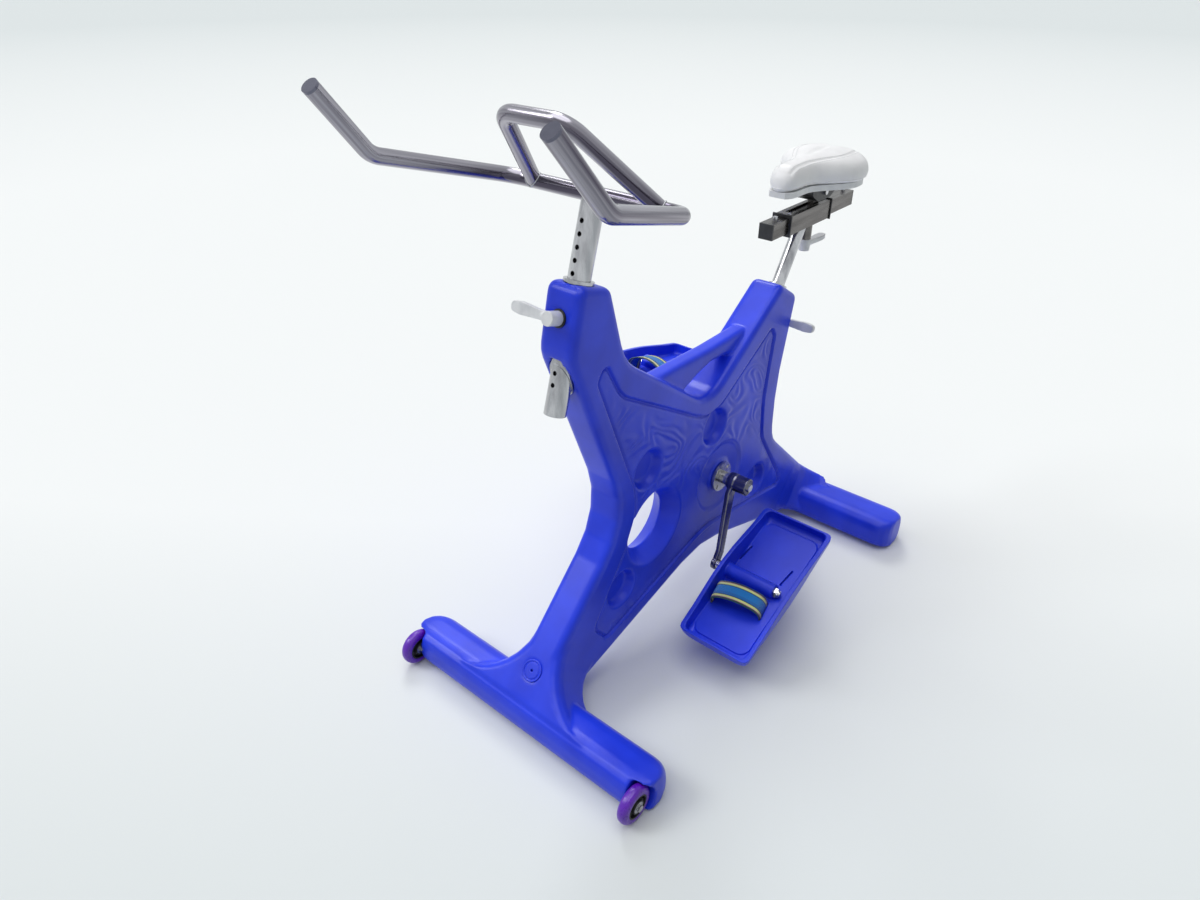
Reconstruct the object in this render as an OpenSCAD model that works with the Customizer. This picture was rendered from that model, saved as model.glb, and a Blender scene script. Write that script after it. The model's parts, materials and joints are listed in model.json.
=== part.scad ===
/* [Moulded body] */
// Width of the body's web, side face to side face
web_w = 76; // [64:1:100]
// Rounding of the web's long edges
edge_r = 13; // [6:1:15]
// Depth of the sunk panel in each side of the web
panel_depth = 2.5; // [1:0.5:5]
// Width of the groove round the panel
groove_w = 9; // [5:1:14]
// Depth of that groove below the panel
groove_depth = 2.5; // [1:0.5:4]
// Half width of the brace bar between neck and column
brace_half = 19; // [14:1:24]
// Height of the brace bar's top face
brace_z = 616; // [600:1:630]
// Thickness of the brace bar at its thinnest
brace_t = 25; // [18:1:34]
// Overall width over the front and rear feet
foot_w = 616; // [560:1:680]
// Radius of the round ends of the feet
foot_end_r = 37; // [25:1:45]
// Rounding of the feet's lower edges
foot_edge_r = 27; // [12:1:30]
// How far the flare of the front leg spreads to each side
front_flare = 150; // [100:1:170]
// How far the flare of the rear leg spreads to each side
rear_flare = 140; // [100:1:160]
// Corner rounding of both leg flares
flare_r = 20; // [12:1:24]

/* [Through-hole and dimples] */
// Radius of the through-hole at the side faces
hole_r = 90; // [70:1:92]
// Radius of the through-hole at its waist in the middle of the web
hole_waist_r = 62; // [40:1:68]
// Radius of each round dimple at the side face
dimple_r = 45; // [34:1:47]
// Depth of each dimple
dimple_depth = 22; // [8:1:28]
// Radius of the round dish about the crank
dish_r = 86; // [76:1:90]
// Depth of the dish about the crank
dish_depth = 6; // [3:0.5:9]

/* [Wheels and pads] */
// Wheel diameter
wheel_d = 76; // [66:1:80]
// Wheel width
wheel_w = 24; // [20:1:26]
// Height of the wheel axle above the floor
wheel_z = 39; // [38:0.5:44]
// Gap round the wheel in its notch
wheel_gap = 2.5; // [2:0.5:4]
// How far the wheel's outer face lies inside the end of the foot
wheel_inset = 7; // [2:0.5:12]
// Diameter of the wheel bolt, and bore of its bearings
wheel_bolt_d = 8; // [6:0.5:10]
// Outside diameter of a wheel bearing
wheel_bearing_d = 22; // [19:1:24]
// Width of a wheel bearing
wheel_bearing_w = 7; // [5:0.5:8]
// Thickness of the rubber pads under the feet
pad_t = 4; // [2:0.5:6]
// Length of each rubber pad
pad_len = 64; // [40:1:80]

/* [Cranks] */
// Distance from the crank axis to a pedal axis
crank_len = 180; // [150:1:185]
// Direction of the left crank, above straight back
crank_angle = -120; // [-180:1:180]
// Diameter of the crank axle
axle_d = 20; // [16:0.5:24]
// Outside diameter of the crank bearings
crank_bearing_d = 42; // [36:1:46]
// Width of a crank bearing
crank_bearing_w = 12; // [8:1:16]
// Diameter of the steel flange over each bearing
flange_d = 68; // [58:1:74]
// Thickness of that flange
flange_t = 5; // [3:0.5:8]
// Gap from the flange to the crank's round boss
crank_gap = 20; // [8:1:24]
// Length of the crank's round boss
crank_boss_len = 47; // [36:1:56]
// Diameter of the crank's round boss
crank_boss_d = 38; // [32:1:44]
// Thickness of the crank arm
crank_arm_t = 10; // [7:1:14]
// Width of the crank arm at the axle end
crank_arm_w = 30; // [24:1:34]

/* [Pedals] */
// Gap from crank arm to pedal tray
pedal_gap = 18; // [10:1:24]
// Width of a pedal tray
tray_w = 166; // [145:1:172]
// Length of a pedal tray
tray_len = 350; // [310:1:360]
// Wall thickness of a pedal tray
tray_wall = 5; // [3:0.5:7]
// Height of the tray's rim ends over the pedal axis
rim_h = 12; // [6:1:20]
// Extra rise of the inner rim at mid length
rim_rise_in = 21; // [10:1:26]
// Extra rise of the outer rim at mid length
rim_rise_out = 9; // [4:1:16]
// Depth of the tray's underside below the axis, at the ends
belly_end = 21; // [18:1:28]
// Extra depth of the underside at mid length
belly_mid = 17; // [8:1:24]
// Depth of the moat round the footbed below the axis
moat_z = 15; // [13:0.5:17]
// Height of the footbed over the moat
footbed_h = 4; // [2:0.5:6]
// Diameter of the pedal axle
pedal_axle_d = 14; // [12:0.5:17]
// Outside diameter of the pedal bushes
bush_d = 20; // [18:0.5:22]
// Outside diameter of the moulded tube over the axle
cross_tube_d = 32; // [27:0.5:36]
// Tilt of the left pedal, rear end up
left_tilt = 21.8; // [-30:0.1:30]
// Tilt of the right pedal, rear end up
right_tilt = -12; // [-30:0.1:30]
// Width of a foot strap
strap_w = 44; // [30:1:50]
// Thickness of a foot strap
strap_t = 2.5; // [1.5:0.5:4]
// Height of the foot strap's arch over the pedal axis
strap_h = 30; // [22:1:60]

/* [Handlebar] */
// Lean of the handlebar post, top to the rear
post_lean = 16.4; // [14:0.1:19]
// Diameter of the handlebar's round post
post_d = 38; // [32:0.5:41]
// Wall of the posts, the handlebar tube and the seat rail
tube_wall = 2; // [1.5:0.1:3]
// Length of the handlebar post below the top of the head
post_below = 218; // [170:1:240]
// Height of the handlebar's cross tube over the head, along the post
bar_rise = 134; // [110:1:160]
// Diameter of the handlebar's bent tubes
bar_d = 25; // [22:0.5:30]
// Half distance between the two rear corners of the handlebar
bar_root_x = 173; // [155:1:190]
// Bend radius of the handlebar's tubes
bend_r = 42; // [30:1:50]
// Spacing of the index holes in the posts
index_pitch = 20; // [16:1:26]
// Diameter of an index hole
index_d = 8; // [6:0.5:10]
// Travel of the handlebar post to each side of the shown height
bar_travel = 80; // [40:1:90]

/* [Seat] */
// Lean of the seat post, top to the rear
seat_lean = 31; // [28:0.5:33]
// Diameter of the seat's round post
seat_post_d = 28; // [25:0.5:32]
// Length of the seat post below the top of the column
seat_below = 180; // [140:1:200]
// Height of the sleeve's underside over the floor
sleeve_z = 781; // [760:1:820]
// Outside size of the square sleeve
sleeve_size = 40; // [40:1:46]
// Wall of the square sleeve
sleeve_wall = 2.5; // [2:0.1:3]
// Length of the square sleeve
sleeve_len = 172; // [160:1:190]
// Outside size of the square seat rail
rail_size = 32; // [28:0.5:32.5]
// Length of the seat rail with its end caps
rail_len = 355; // [330:1:380]
// Place of the rail's front end before the front of the sleeve
rail_front = 65; // [50:1:80]
// Travel of the saddle towards the handlebar
slide_fwd = 88; // [60:1:90]
// Travel of the saddle to the rear
slide_back = 22; // [10:1:24]
// Width of the saddle
saddle_w = 196; // [160:1:220]
// Length of the saddle
saddle_len = 269; // [240:1:290]
// Height of the saddle cushion at its crown
saddle_h = 62; // [45:1:75]
// Thickness of the saddle's hard base
base_t = 12; // [8:1:16]

/* [Clamping levers] */
// Length of a clamping lever from its axis to its tip
lever_len = 85; // [60:1:95]
// Diameter of a lever's round boss
lever_boss_d = 24; // [20:1:28]
// Length of a lever's round boss
lever_boss_len = 26; // [20:1:30]
// Diameter of the clamping studs
stud_d = 10; // [8:0.5:12]

/* [Fits] */
// Gap on each side of a shaft in its bore
run_gap = 0.05; // [0.02:0.01:0.1]
// Gap between faces of parts that pass each other
air = 0.3; // [0.2:0.05:0.6]

/* [Hidden] */
$fn = 48;

body_blue = "#2f3fd6";
steel = "#b9bcc2";
dark = "#26262a";
web_half = web_w / 2;
foot_half = foot_w / 2;
// Lengths below are measured from the front edge of the toe: [back, up]
head_top = [190, 856];
column_top = [835, 663];
crank_at = [608, 301];
hole_at = [375, 295];
// Dimples: [back, up]
dimples = [[346, 446], [573, 440], [270, 199], [770, 207]];
post_up = [sin(post_lean), cos(post_lean)];
post_fwd = [-cos(post_lean), sin(post_lean)];
seat_up = [sin(seat_lean), cos(seat_lean)];
seat_rear = [cos(seat_lean), -sin(seat_lean)];
// Front face of the neck, a straight line from the nose to the knee: [back, up]
neck_nose = [129, 751];
neck_knee = [282, 370];
toe = [4, 79];
// Rear face of the column and top of the rear leg: [back, up]
waist = [827, 440];
ankle = [834, 298];
heel = [1058, 94];
// Outline of the web: [back, up, radius]
head_front = head_top + 35.5 * post_fwd;
head_rear = head_top - 41.5 * post_fwd;
column_front = column_top - 50.5 * seat_rear;
column_rear = column_top + 34.5 * seat_rear;
web_outline = [
    [toe[0], toe[1], 18], [26, 12, 16], [70, 12, 30], [553, 147, 250], [966, 14, 60],
    [1062, 16, 18], [heel[0], heel[1], 18], [ankle[0], ankle[1], 90], [waist[0], waist[1], 300],
    [column_rear[0], column_rear[1], 17], [column_front[0], column_front[1], 17],
    [541, 509, 75], [272, 700, 110],
    [head_rear[0], head_rear[1], 20], [head_front[0], head_front[1], 17],
    [neck_nose[0], neck_nose[1], 50], [neck_knee[0], neck_knee[1], 165]];
panel_outline = [
    [180, 150, 25], [222, 96, 20], [562, 186, 230], [905, 128, 15], [890, 170, 15],
    [782, 325, 80], [770, 425, 250], [786, 578, 15], [768, 606, 15], [552, 470, 90],
    [262, 642, 80], [214, 728, 15], [190, 690, 15], [322, 368, 150]];
brace_outline = [
    [372, brace_z - 90, 12], [470, brace_z - 62, 40], [565, brace_z - brace_t, 160],
    [668, brace_z - 44, 40], [752, brace_z - 60, 12], [752, brace_z + 4, 12],
    [560, brace_z, 200], [372, brace_z + 4, 12]];
// Feet: ridge and underside of each foot's section, [back, up, radius]
front_section = [
    [-12, pad_t, foot_edge_r], [93, pad_t, foot_edge_r], [84, 74, 34], [-6, 84, 28]];
rear_section = [
    [966, pad_t, foot_edge_r], [1088, pad_t, foot_edge_r], [1076, 75, 30], [970, 83, 28]];
flare_s = 150;
neck_out = [neck_knee[1] - neck_nose[1], neck_nose[0] - neck_knee[0]] / norm(neck_nose - neck_knee);
hub_r = 24;
bend_steps = 5;
tube_sides = 16;
crank_bolt_d = 8;
eye_d = 28;
bush_len = 16;
strap_half = 56;
tail_z = -moat_z - 6;
tail_x = -strap_half - 21;
strap_foot = -moat_z - 13;
// Corners of the strap's outer side, over the foot from one slot to the other: [across, up]
edge_out = [
    [strap_half, strap_foot], [strap_half, 0.5 * strap_h], [0, strap_h + 9],
    [-strap_half, 0.5 * strap_h], [-strap_half, strap_foot]];
edge_in = inset(edge_out, strap_t);
strap_tilt = atan2(0.5 * strap_h + 9, strap_half);
strap_side = norm([0.5 * strap_h + 9, strap_half]);
shoulder_r = 0.28 * strap_side / tan(45 - strap_tilt / 2);
strap_bends = [0, shoulder_r, 0.6 * strap_side / tan(strap_tilt), shoulder_r];
sleeve_inner = sleeve_size - 2 * sleeve_wall;
rail_plug = rail_size - 2 * tube_wall - 2 * run_gap;
wheel_at = [-5, wheel_z];
wheel_r = wheel_d / 2;
wheel_out = foot_half - wheel_inset;
wheel_in = wheel_out - wheel_w;
notch_x = wheel_in - 3;
wheel_bore = wheel_bolt_d + 2 * run_gap;
flange_x = web_half + flange_t;
boss_x = flange_x + crank_gap;
arm_x = boss_x + crank_boss_len - crank_arm_t - 6;
arm_root_x = boss_x + 6;
axle_end = boss_x + crank_boss_len - 4;
tray_in = arm_x + crank_arm_t + pedal_gap;
tray_out = tray_in + tray_w;
tube_end = tray_out - tray_wall - 36;
nut_t = 10;
lever_cap = 4;
// Wall of the steel linings, and lip on top of each
bush_wall = 3;
lip_w = 6;
rim_t = 5;
column_bush_len = 150;
seat_drop = 40;
post_cap = 10;
post_top = bar_rise - bar_d / 2 + 7;
bar_at = head_top + bar_rise * post_up;
bar_bend = [222, -5, 1048];
bar_tip = [214, -90, 1151];
tip_dir = (bar_tip - bar_bend) / norm(bar_tip - bar_bend);
cap_t = 4;
// Plug of a grip's end cap, which clears the flats of the faceted tube
bar_plug_d = (bar_d - 2 * tube_wall) * cos(180 / tube_sides) - 2 * run_gap;
loop_base_x = 126;
loop_top = [60, bar_at[0] - 125, bar_at[1] + 127];
sleeve_top = sleeve_z + sleeve_size;
rail_z = sleeve_z + sleeve_size / 2;
rail_half = rail_size / 2;
seat_at = column_top[0] + (sleeve_z - column_top[1]) * tan(seat_lean);
// Length of the seat post above the column, with enough to trim at the sleeve
seat_rise = (sleeve_z - column_top[1]) / cos(seat_lean) + seat_post_d;
sleeve_y = seat_at - 82;
sleeve_end = sleeve_y + sleeve_len;
index_low = -166;
index_seat = 20;
collar_t = 3;
collar_size = sleeve_size + 5;
rail_y = sleeve_y - rail_front;
rail_end = rail_y + rail_len;
stop_r = 5;
stop_front = sleeve_y - collar_t - slide_back - stop_r - 1;
stop_rear = sleeve_end + collar_t + slide_fwd + stop_r + 1;
stand_y = sleeve_end - 44;
stand_half = 12;
stand_t = 14;
tilt_z = sleeve_top + 27;
clamp_z = sleeve_top + 10;
clamp_top = clamp_z + 32;
clamp_y = [stand_y - 52, stand_y + 60];
clamp_half = 24;
saddle_y = stand_y - 169;
saddle_z = clamp_top + base_t;
slider_y = sleeve_end - 58;
slider_boss = 36;
slider_stud_z = sleeve_z - slider_boss - lever_boss_len + lever_cap;
slot_w = stand_t + 6;
saddle_bolt_d = 8;
washer_t = 2;
insert_d = stud_d + 10;
lever_mid = washer_t + lever_boss_len / 2;
// Clamp screws: depth below the body's top, place on the post's axis, distance to the face
head_clamp_deep = 56;
column_clamp_deep = 86;
head_clamp = head_top - head_clamp_deep * post_up;
head_face = reach(head_clamp, post_fwd, neck_nose, head_front);
head_pad = head_clamp + head_face * post_fwd;
insert_len = min(12, head_face - post_d / 2 - bush_wall - 1);
column_out = [column_rear[1] - waist[1], waist[0] - column_rear[0]] / norm(column_rear - waist);
column_clamp = column_top - column_clamp_deep * seat_up;
column_face = reach(column_clamp, column_out, waist, column_rear);
column_pad = column_clamp + column_face * column_out;
column_slant = acos(column_out * seat_rear);
column_tip = (seat_post_d / 2 + air + (stud_d / 2 - 2) * sin(column_slant)) / cos(column_slant);
leg_dir = unit(neck_knee - toe);
plug_at = toe + 61 * leg_dir;
plug_out = [-leg_dir[1], leg_dir[0]];
plug_head_d = 43;
plug_d = 30;
plug_deep = 14;
// Middle between the foremost point of the handlebar and the rear end of the seat rail
bar_front = bar_tip[1] - bar_d / 2 * sqrt(1 - tip_dir[1] * tip_dir[1]);
mid_y = (bar_front + rail_end) / 2;

// Unit vector along v
function unit(v) = v / norm(v);

// Distance along the direction dir from p to the line through a and b
function reach(p, dir, a, b) =
    let (e = b - a, q = a - p) (q[0] * e[1] - q[1] * e[0]) / (dir[0] * e[1] - dir[1] * e[0]);

// Turn from the edge a-p to the edge p-b, positive to the left
function turn(a, p, b) =
    let (u = p - a, w = b - p) atan2(u[0] * w[1] - u[1] * w[0], u * w);

// Round corner p between a and b as an arc of radius r in n steps
function corner(a, p, b, r, n) =
    let (
        u = unit(a - p),
        w = unit(b - p),
        bend = turn(a, p, b),
        half = (180 - abs(bend)) / 2,
        centre = p + unit(u + w) * r / sin(half),
        start = p + u * r / tan(half) - centre)
    [for (i = [0 : n])
        let (s = bend * i / n)
        centre + [start[0] * cos(s) - start[1] * sin(s), start[0] * sin(s) + start[1] * cos(s)]];

// Closed outline through round corners [a, b, radius], one arc step per given angle
function rounded(c, step = 12, steps = 0) =
    let (n = len(c))
    [for (i = [0 : n - 1])
        let (
            a = [c[(i + n - 1) % n][0], c[(i + n - 1) % n][1]],
            p = [c[i][0], c[i][1]],
            b = [c[(i + 1) % n][0], c[(i + 1) % n][1]],
            k = steps > 0 ? steps : max(1, round(abs(turn(a, p, b)) / step)))
        each corner(a, p, b, c[i][2], k)];

// Closed outline moved inwards by d, for points that run to the left
function inset(pts, d) =
    let (n = len(pts))
    [for (i = [0 : n - 1])
        let (
            e = unit(pts[i] - pts[(i + n - 1) % n]),
            g = unit(pts[(i + 1) % n] - pts[i]),
            s = [-e[1] - g[1], e[0] + g[0]])
        pts[i] + s * d / (1 + e * g)];

// Twice the area of the triangle a, b, c, positive when it runs to the left
function doubled(a, b, c) = (b[0] - a[0]) * (c[1] - a[1]) - (b[1] - a[1]) * (c[0] - a[0]);

// Whether p lies inside the triangle a, b, c
function is_inside(a, b, c, p) =
    doubled(a, b, p) > 0 && doubled(b, c, p) > 0 && doubled(c, a, p) > 0;

// Whether the corner k of the outline can be cut off as a triangle
function is_ear(pts, ids, k) =
    let (
        n = len(ids),
        a = pts[ids[(k + n - 1) % n]],
        b = pts[ids[k]],
        c = pts[ids[(k + 1) % n]])
    doubled(a, b, c) > 0.001 && len([for (i = ids) if (is_inside(a, b, c, pts[i])) i]) == 0;

// Next corner from k on that can be cut off
function next_ear(pts, ids, k) = is_ear(pts, ids, k) ? k : next_ear(pts, ids, (k + 1) % len(ids));

// Triangles that fill a hollow-sided outline
function fill(pts, ids, from = 0) =
    len(ids) == 3 ? [ids] :
    let (n = len(ids), k = next_ear(pts, ids, from % n))
    concat(
        [[ids[(k + n - 1) % n], ids[k], ids[(k + 1) % n]]],
        fill(pts, [for (i = [0 : n - 1]) if (i != k) ids[i]], k + 1));

// Faces of a skin over m rings of n points each, its ends closed with the given faces
function skin_faces(m, n, ends) = concat(
    ends,
    [for (f = ends) [for (j = [len(f) - 1 : -1 : 0]) (m - 1) * n + f[j]]],
    [for (i = [0 : m - 2], j = [0 : n - 1])
        let (a = i * n + j, b = i * n + (j + 1) % n, c = b + n, d = a + n)
        each [[a, d, c], [a, c, b]]]);

module skin(rings, ends = []) {
    n = len(rings[0]);
    polyhedron(
        points = [for (r = rings) each r],
        faces = skin_faces(len(rings), n, len(ends) > 0 ? ends : [[for (j = [0 : n - 1]) j]]),
        convexity = 6);
}

// Upright slab with the outline pts, half as thick as given, with rounded edges
module slab(pts, half, r, steps = 4) {
    rim = [for (k = [0 : steps]) let (s = 90 * k / steps) [half - r * (1 - cos(s)), r * (1 - sin(s))]];
    rings = concat([for (k = rim) [-k[0], k[1]]], [for (k = [steps : -1 : 0]) rim[k]]);
    skin(
        [for (k = rings) [for (p = inset(pts, k[1])) [k[0], p[0], p[1]]]],
        fill(inset(pts, r), [for (i = [0 : len(pts) - 1]) i]));
}

// Section across a leg: edge p, half as wide as wp, to edge q, half as wide as wq
function leg_ring(p, q, wp, wq, r) =
    let (
        deep = norm(q - p),
        dir = (q - p) / deep,
        ring = rounded([[-wp, 0, r], [wp, 0, r], [wq, deep, r], [-wq, deep, r]], steps = 3))
    [for (k = ring) [k[0], p[0] + k[1] * dir[0], p[1] + k[1] * dir[1]]];

// Quarter-round flare, 1 at the foot and 0 at the end of the run
function flare(s) = 1 - sqrt(max(0, 1 - pow(1 - s / flare_s, 2)));

module place() {
    translate([0, -mid_y, 0]) children();
}

module both_sides() {
    children();
    mirror([1, 0, 0]) children();
}

// Moves to the given side: 1 is the rider's left, -1 the right
module on_side(side) {
    mirror([side > 0 ? 0 : 1, 0, 0]) children();
}

// Turns the Z axis of the children to X at [back, up]
module along_x(at, x = 0) {
    translate([x, at[0], at[1]]) rotate([90, 0, 90]) children();
}

// Turns the Z axis of the children to the direction dir in the middle plane
module aim(at, dir) {
    translate([0, at[0], at[1]]) rotate([-atan2(dir[0], dir[1]), 0, 0]) children();
}

// Foot bar with round ends from a section, flat underneath
module foot_bar(section) {
    ring = rounded(section, steps = 3);
    mid = (section[0][0] + section[1][0]) / 2;
    ends = [for (k = [0 : 4]) foot_half - foot_end_r * (1 - sin(90 * k / 4))];
    narrow = [for (k = [0 : 4]) 1 - (1 - cos(90 * k / 4)) * foot_end_r / (section[1][0] - mid)];
    low = [for (k = [0 : 4]) 1 - 0.06 * (1 - cos(90 * k / 4))];
    rings = concat(
        [for (k = [4 : -1 : 0]) [-ends[k], narrow[k], low[k]]],
        [for (k = [0 : 4]) [ends[k], narrow[k], low[k]]]);
    skin([for (k = rings)
        [for (p = ring) [k[0], mid + (p[0] - mid) * k[1], pad_t + (p[1] - pad_t) * k[2]]]]);
}

// Flares that spread each leg of the web into its foot
module front_leg() {
    start = toe - air * plug_out;
    skin([for (s = [0, 8, 18, 32, 50, 74, 104, 150])
        leg_ring(
            start + s * leg_dir,
            [95 + 0.667 * s, 24 + 0.2 * s],
            web_half - air + front_flare * flare(min(s, flare_s)),
            web_half - air + 0.66 * front_flare * flare(min(s, flare_s)),
            min(flare_r, 0.4 * web_w))]);
}

module rear_leg() {
    up = unit(ankle - heel);
    start = heel + air * [-up[1], up[0]];
    skin([for (s = [0, 6, 14, 26, 42, 64, 107])
        leg_ring(
            [985 - 0.952 * s, 16 + 0.306 * s],
            start + s * up,
            web_half - air + rear_flare * flare(min(1.4 * s, flare_s)),
            web_half - air + 0.4 * rear_flare * flare(min(1.4 * s, flare_s)),
            min(flare_r, 0.4 * web_w))]);
}

// Round hollows in both side faces
module hollows() {
    both_sides() {
        along_x(hole_at) cylinder(h = web_half + 1, r1 = hole_waist_r, r2 = hole_r);
        for (at = dimples)
            along_x(at, web_half - dimple_depth)
                cylinder(h = dimple_depth + 1, r1 = 0.74 * dimple_r, r2 = dimple_r);
        along_x(crank_at, web_half - dish_depth)
            difference() {
                cylinder(h = dish_depth + 1, r1 = dish_r - dish_depth, r2 = dish_r);
                translate([0, 0, -1]) cylinder(h = dish_depth + 3, d = flange_d + 6);
            }
    }
}

// Sunk panel and its border groove in both side faces
module panels() {
    outline = rounded(panel_outline, step = 20);
    both_sides() {
        translate([web_half - panel_depth, 0, 0]) rotate([90, 0, 90])
            linear_extrude(panel_depth + 1) polygon(inset(outline, groove_w));
        translate([web_half - panel_depth - groove_depth, 0, 0]) rotate([90, 0, 90])
            linear_extrude(panel_depth + groove_depth + 1) difference() {
                polygon(outline);
                polygon(inset(outline, groove_w));
            }
    }
}

// Wheel notch and bolt hole at each end of the front foot
module wheel_notches() {
    both_sides() {
        along_x(wheel_at, notch_x)
            cylinder(h = foot_half - notch_x + 1, r = wheel_r + wheel_gap);
        along_x(wheel_at, notch_x - 50) cylinder(h = 51, d = wheel_bolt_d);
    }
}

// Bores of both posts, the crank, the clamp inserts and the drain plug, cut from the body
module bores() {
    aim(head_top, post_up)
        translate([0, 0, -post_below - bar_travel - 60])
            cylinder(h = post_below + bar_travel + 160, d = post_d + 2 * bush_wall);
    aim(column_top, seat_up)
        translate([0, 0, -seat_below - seat_drop - 5])
            cylinder(h = seat_below + seat_drop + 105, d = seat_post_d + 2 * bush_wall);
    along_x(crank_at, -web_half - 10) cylinder(h = web_w + 20, d = crank_bearing_d);
    aim(head_pad, post_fwd) clamp_bore(head_face);
    aim(column_pad, column_out) clamp_bore(column_face);
    aim(plug_at, plug_out) {
        translate([0, 0, -plug_deep - 1]) cylinder(h = plug_deep + 2, d = plug_d);
        translate([0, 0, -1.5]) cylinder(h = 20, d = plug_head_d + 1);
    }
}

// Seat of a threaded insert and the stud's way in to the post, from the outer face
module clamp_bore(deep) {
    translate([0, 0, -insert_len]) cylinder(h = insert_len + 1, d = insert_d);
    translate([0, 0, -deep]) cylinder(h = deep, d = stud_d + 2);
    cylinder(h = 30, d = insert_d + 14);
}

// Upright web between the feet, with its panels and round hollows
module web() {
    difference() {
        slab(rounded(web_outline, step = 15), web_half, edge_r, 3);
        panels();
        hollows();
    }
}

// The one-piece moulded body
module hull() place() color(body_blue)
    difference() {
        union() {
            web();
            slab(rounded(brace_outline, step = 20), brace_half, 9, 2);
            foot_bar(front_section);
            foot_bar(rear_section);
            front_leg();
            rear_leg();
        }
        wheel_notches();
        bores();
    }

// Screwed plug of the water drain, with a ring groove and a vent hole
module drain_plug() place() color(body_blue)
    aim(plug_at, plug_out) difference() {
        union() {
            translate([0, 0, -plug_deep]) cylinder(h = plug_deep, d = plug_d - 2 * run_gap);
            translate([0, 0, -1.5]) cylinder(h = 3.5, d = plug_head_d);
        }
        translate([0, 0, 0.5]) difference() {
            cylinder(h = 4, d = plug_head_d - 7);
            translate([0, 0, -1]) cylinder(h = 6, d = plug_head_d - 12);
        }
        translate([0, 0, -5]) cylinder(h = 10, d = 5);
    }

// Steel lining of the neck, with a lip on top and its lower end flush with the neck's front
module head_bush() place() color(steel)
    difference() {
        aim(head_top, post_up) difference() {
            union() {
                translate([0, 0, -post_below])
                    cylinder(h = post_below + rim_t, d = post_d + 2 * bush_wall);
                cylinder(h = rim_t, d = post_d + 2 * lip_w);
            }
            translate([0, 0, -post_below - 1])
                cylinder(h = post_below + rim_t + 2, d = post_d + 2 * run_gap);
        }
        rotate([90, 0, 90]) translate([0, 0, -50]) linear_extrude(100)
            polygon([
                neck_nose + 1.5 * neck_out, neck_knee + 1.5 * neck_out,
                neck_knee + 200 * neck_out, neck_nose + 200 * neck_out]);
        aim(head_clamp, post_fwd) cylinder(h = head_face, d = stud_d + 2);
    }

// Steel lining of the column
module column_bush() place() color(steel)
    difference() {
        aim(column_top, seat_up) difference() {
            union() {
                translate([0, 0, -column_bush_len])
                    cylinder(h = column_bush_len + rim_t, d = seat_post_d + 2 * bush_wall);
                cylinder(h = rim_t, d = seat_post_d + 2 * lip_w);
            }
            translate([0, 0, -column_bush_len - 1])
                cylinder(h = column_bush_len + rim_t + 2, d = seat_post_d + 2 * run_gap);
        }
        aim(column_clamp, column_out) cylinder(h = column_face, d = stud_d + 2);
    }

// Rubber pad under the flat of a foot's section, with its outer end at x
module pad(x, section) {
    y0 = section[0][0] + foot_edge_r;
    y1 = section[1][0] - foot_edge_r;
    linear_extrude(pad_t) polygon(rounded(
        [[x - pad_len, y0, 8], [x, y0, 8], [x, y1, 8], [x - pad_len, y1, 8]], step = 30));
}

module front_pads() place() color(dark)
    both_sides() pad(notch_x - 60, front_section);

module rear_pads() place() color(dark)
    both_sides() pad(foot_half - foot_end_r, rear_section);

// Bolts that the wheels turn on, each with its spacer washer
module wheel_bolts() place() color(steel)
    both_sides() {
        along_x(wheel_at, notch_x - 40) {
            cylinder(h = wheel_out - notch_x + 40 + air, d = wheel_bolt_d);
            translate([0, 0, wheel_out - notch_x + 40 + air])
                cylinder(h = 4.5, d = wheel_bolt_d + 6, $fn = 6);
        }
        along_x(wheel_at, notch_x) difference() {
            cylinder(h = wheel_in - notch_x - air, d = wheel_bolt_d + 6);
            translate([0, 0, -1]) cylinder(h = 10, d = wheel_bolt_d);
        }
    }

// Frame of a wheel: centre on its axle, Z along the axle
module at_wheel(side) {
    on_side(side) along_x(wheel_at, (wheel_in + wheel_out) / 2) children();
}

module tyre(side) place() color("#7a1fd0")
    at_wheel(side) rotate_extrude() polygon(rounded([
        [hub_r, -wheel_w / 2 + 1, 1.5], [wheel_r, -wheel_w / 2, 10],
        [wheel_r, wheel_w / 2, 10], [hub_r, wheel_w / 2 - 1, 1.5]], steps = 4));

module wheel_hub(side) place() color(dark)
    at_wheel(side) rotate_extrude() polygon([
        [wheel_bore / 2 + 2, wheel_bearing_w - wheel_w / 2],
        [wheel_bearing_d / 2, wheel_bearing_w - wheel_w / 2],
        [wheel_bearing_d / 2, -wheel_w / 2], [wheel_bearing_d / 2 + 2.5, -wheel_w / 2],
        [wheel_bearing_d / 2 + 3, -4], [hub_r - 3, -4], [hub_r - 2.5, 1.5 - wheel_w / 2],
        [hub_r, 1.5 - wheel_w / 2], [hub_r, wheel_w / 2 - 1.5], [hub_r - 2.5, wheel_w / 2 - 1.5],
        [hub_r - 3, 4], [wheel_bearing_d / 2 + 3, 4], [wheel_bearing_d / 2 + 2.5, wheel_w / 2],
        [wheel_bearing_d / 2, wheel_w / 2],
        [wheel_bearing_d / 2, wheel_w / 2 - wheel_bearing_w],
        [wheel_bore / 2 + 2, wheel_w / 2 - wheel_bearing_w]]);

module wheel_bearings(side) place() color(steel)
    at_wheel(side) for (end = [0, 1]) mirror([0, 0, end])
        translate([0, 0, wheel_w / 2 - wheel_bearing_w])
            ring(wheel_bearing_d, wheel_bore, wheel_bearing_w);

module ring(outer, inner, h) {
    difference() {
        cylinder(h = h, d = outer);
        translate([0, 0, -1]) cylinder(h = h + 2, d = inner);
    }
}

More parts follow.
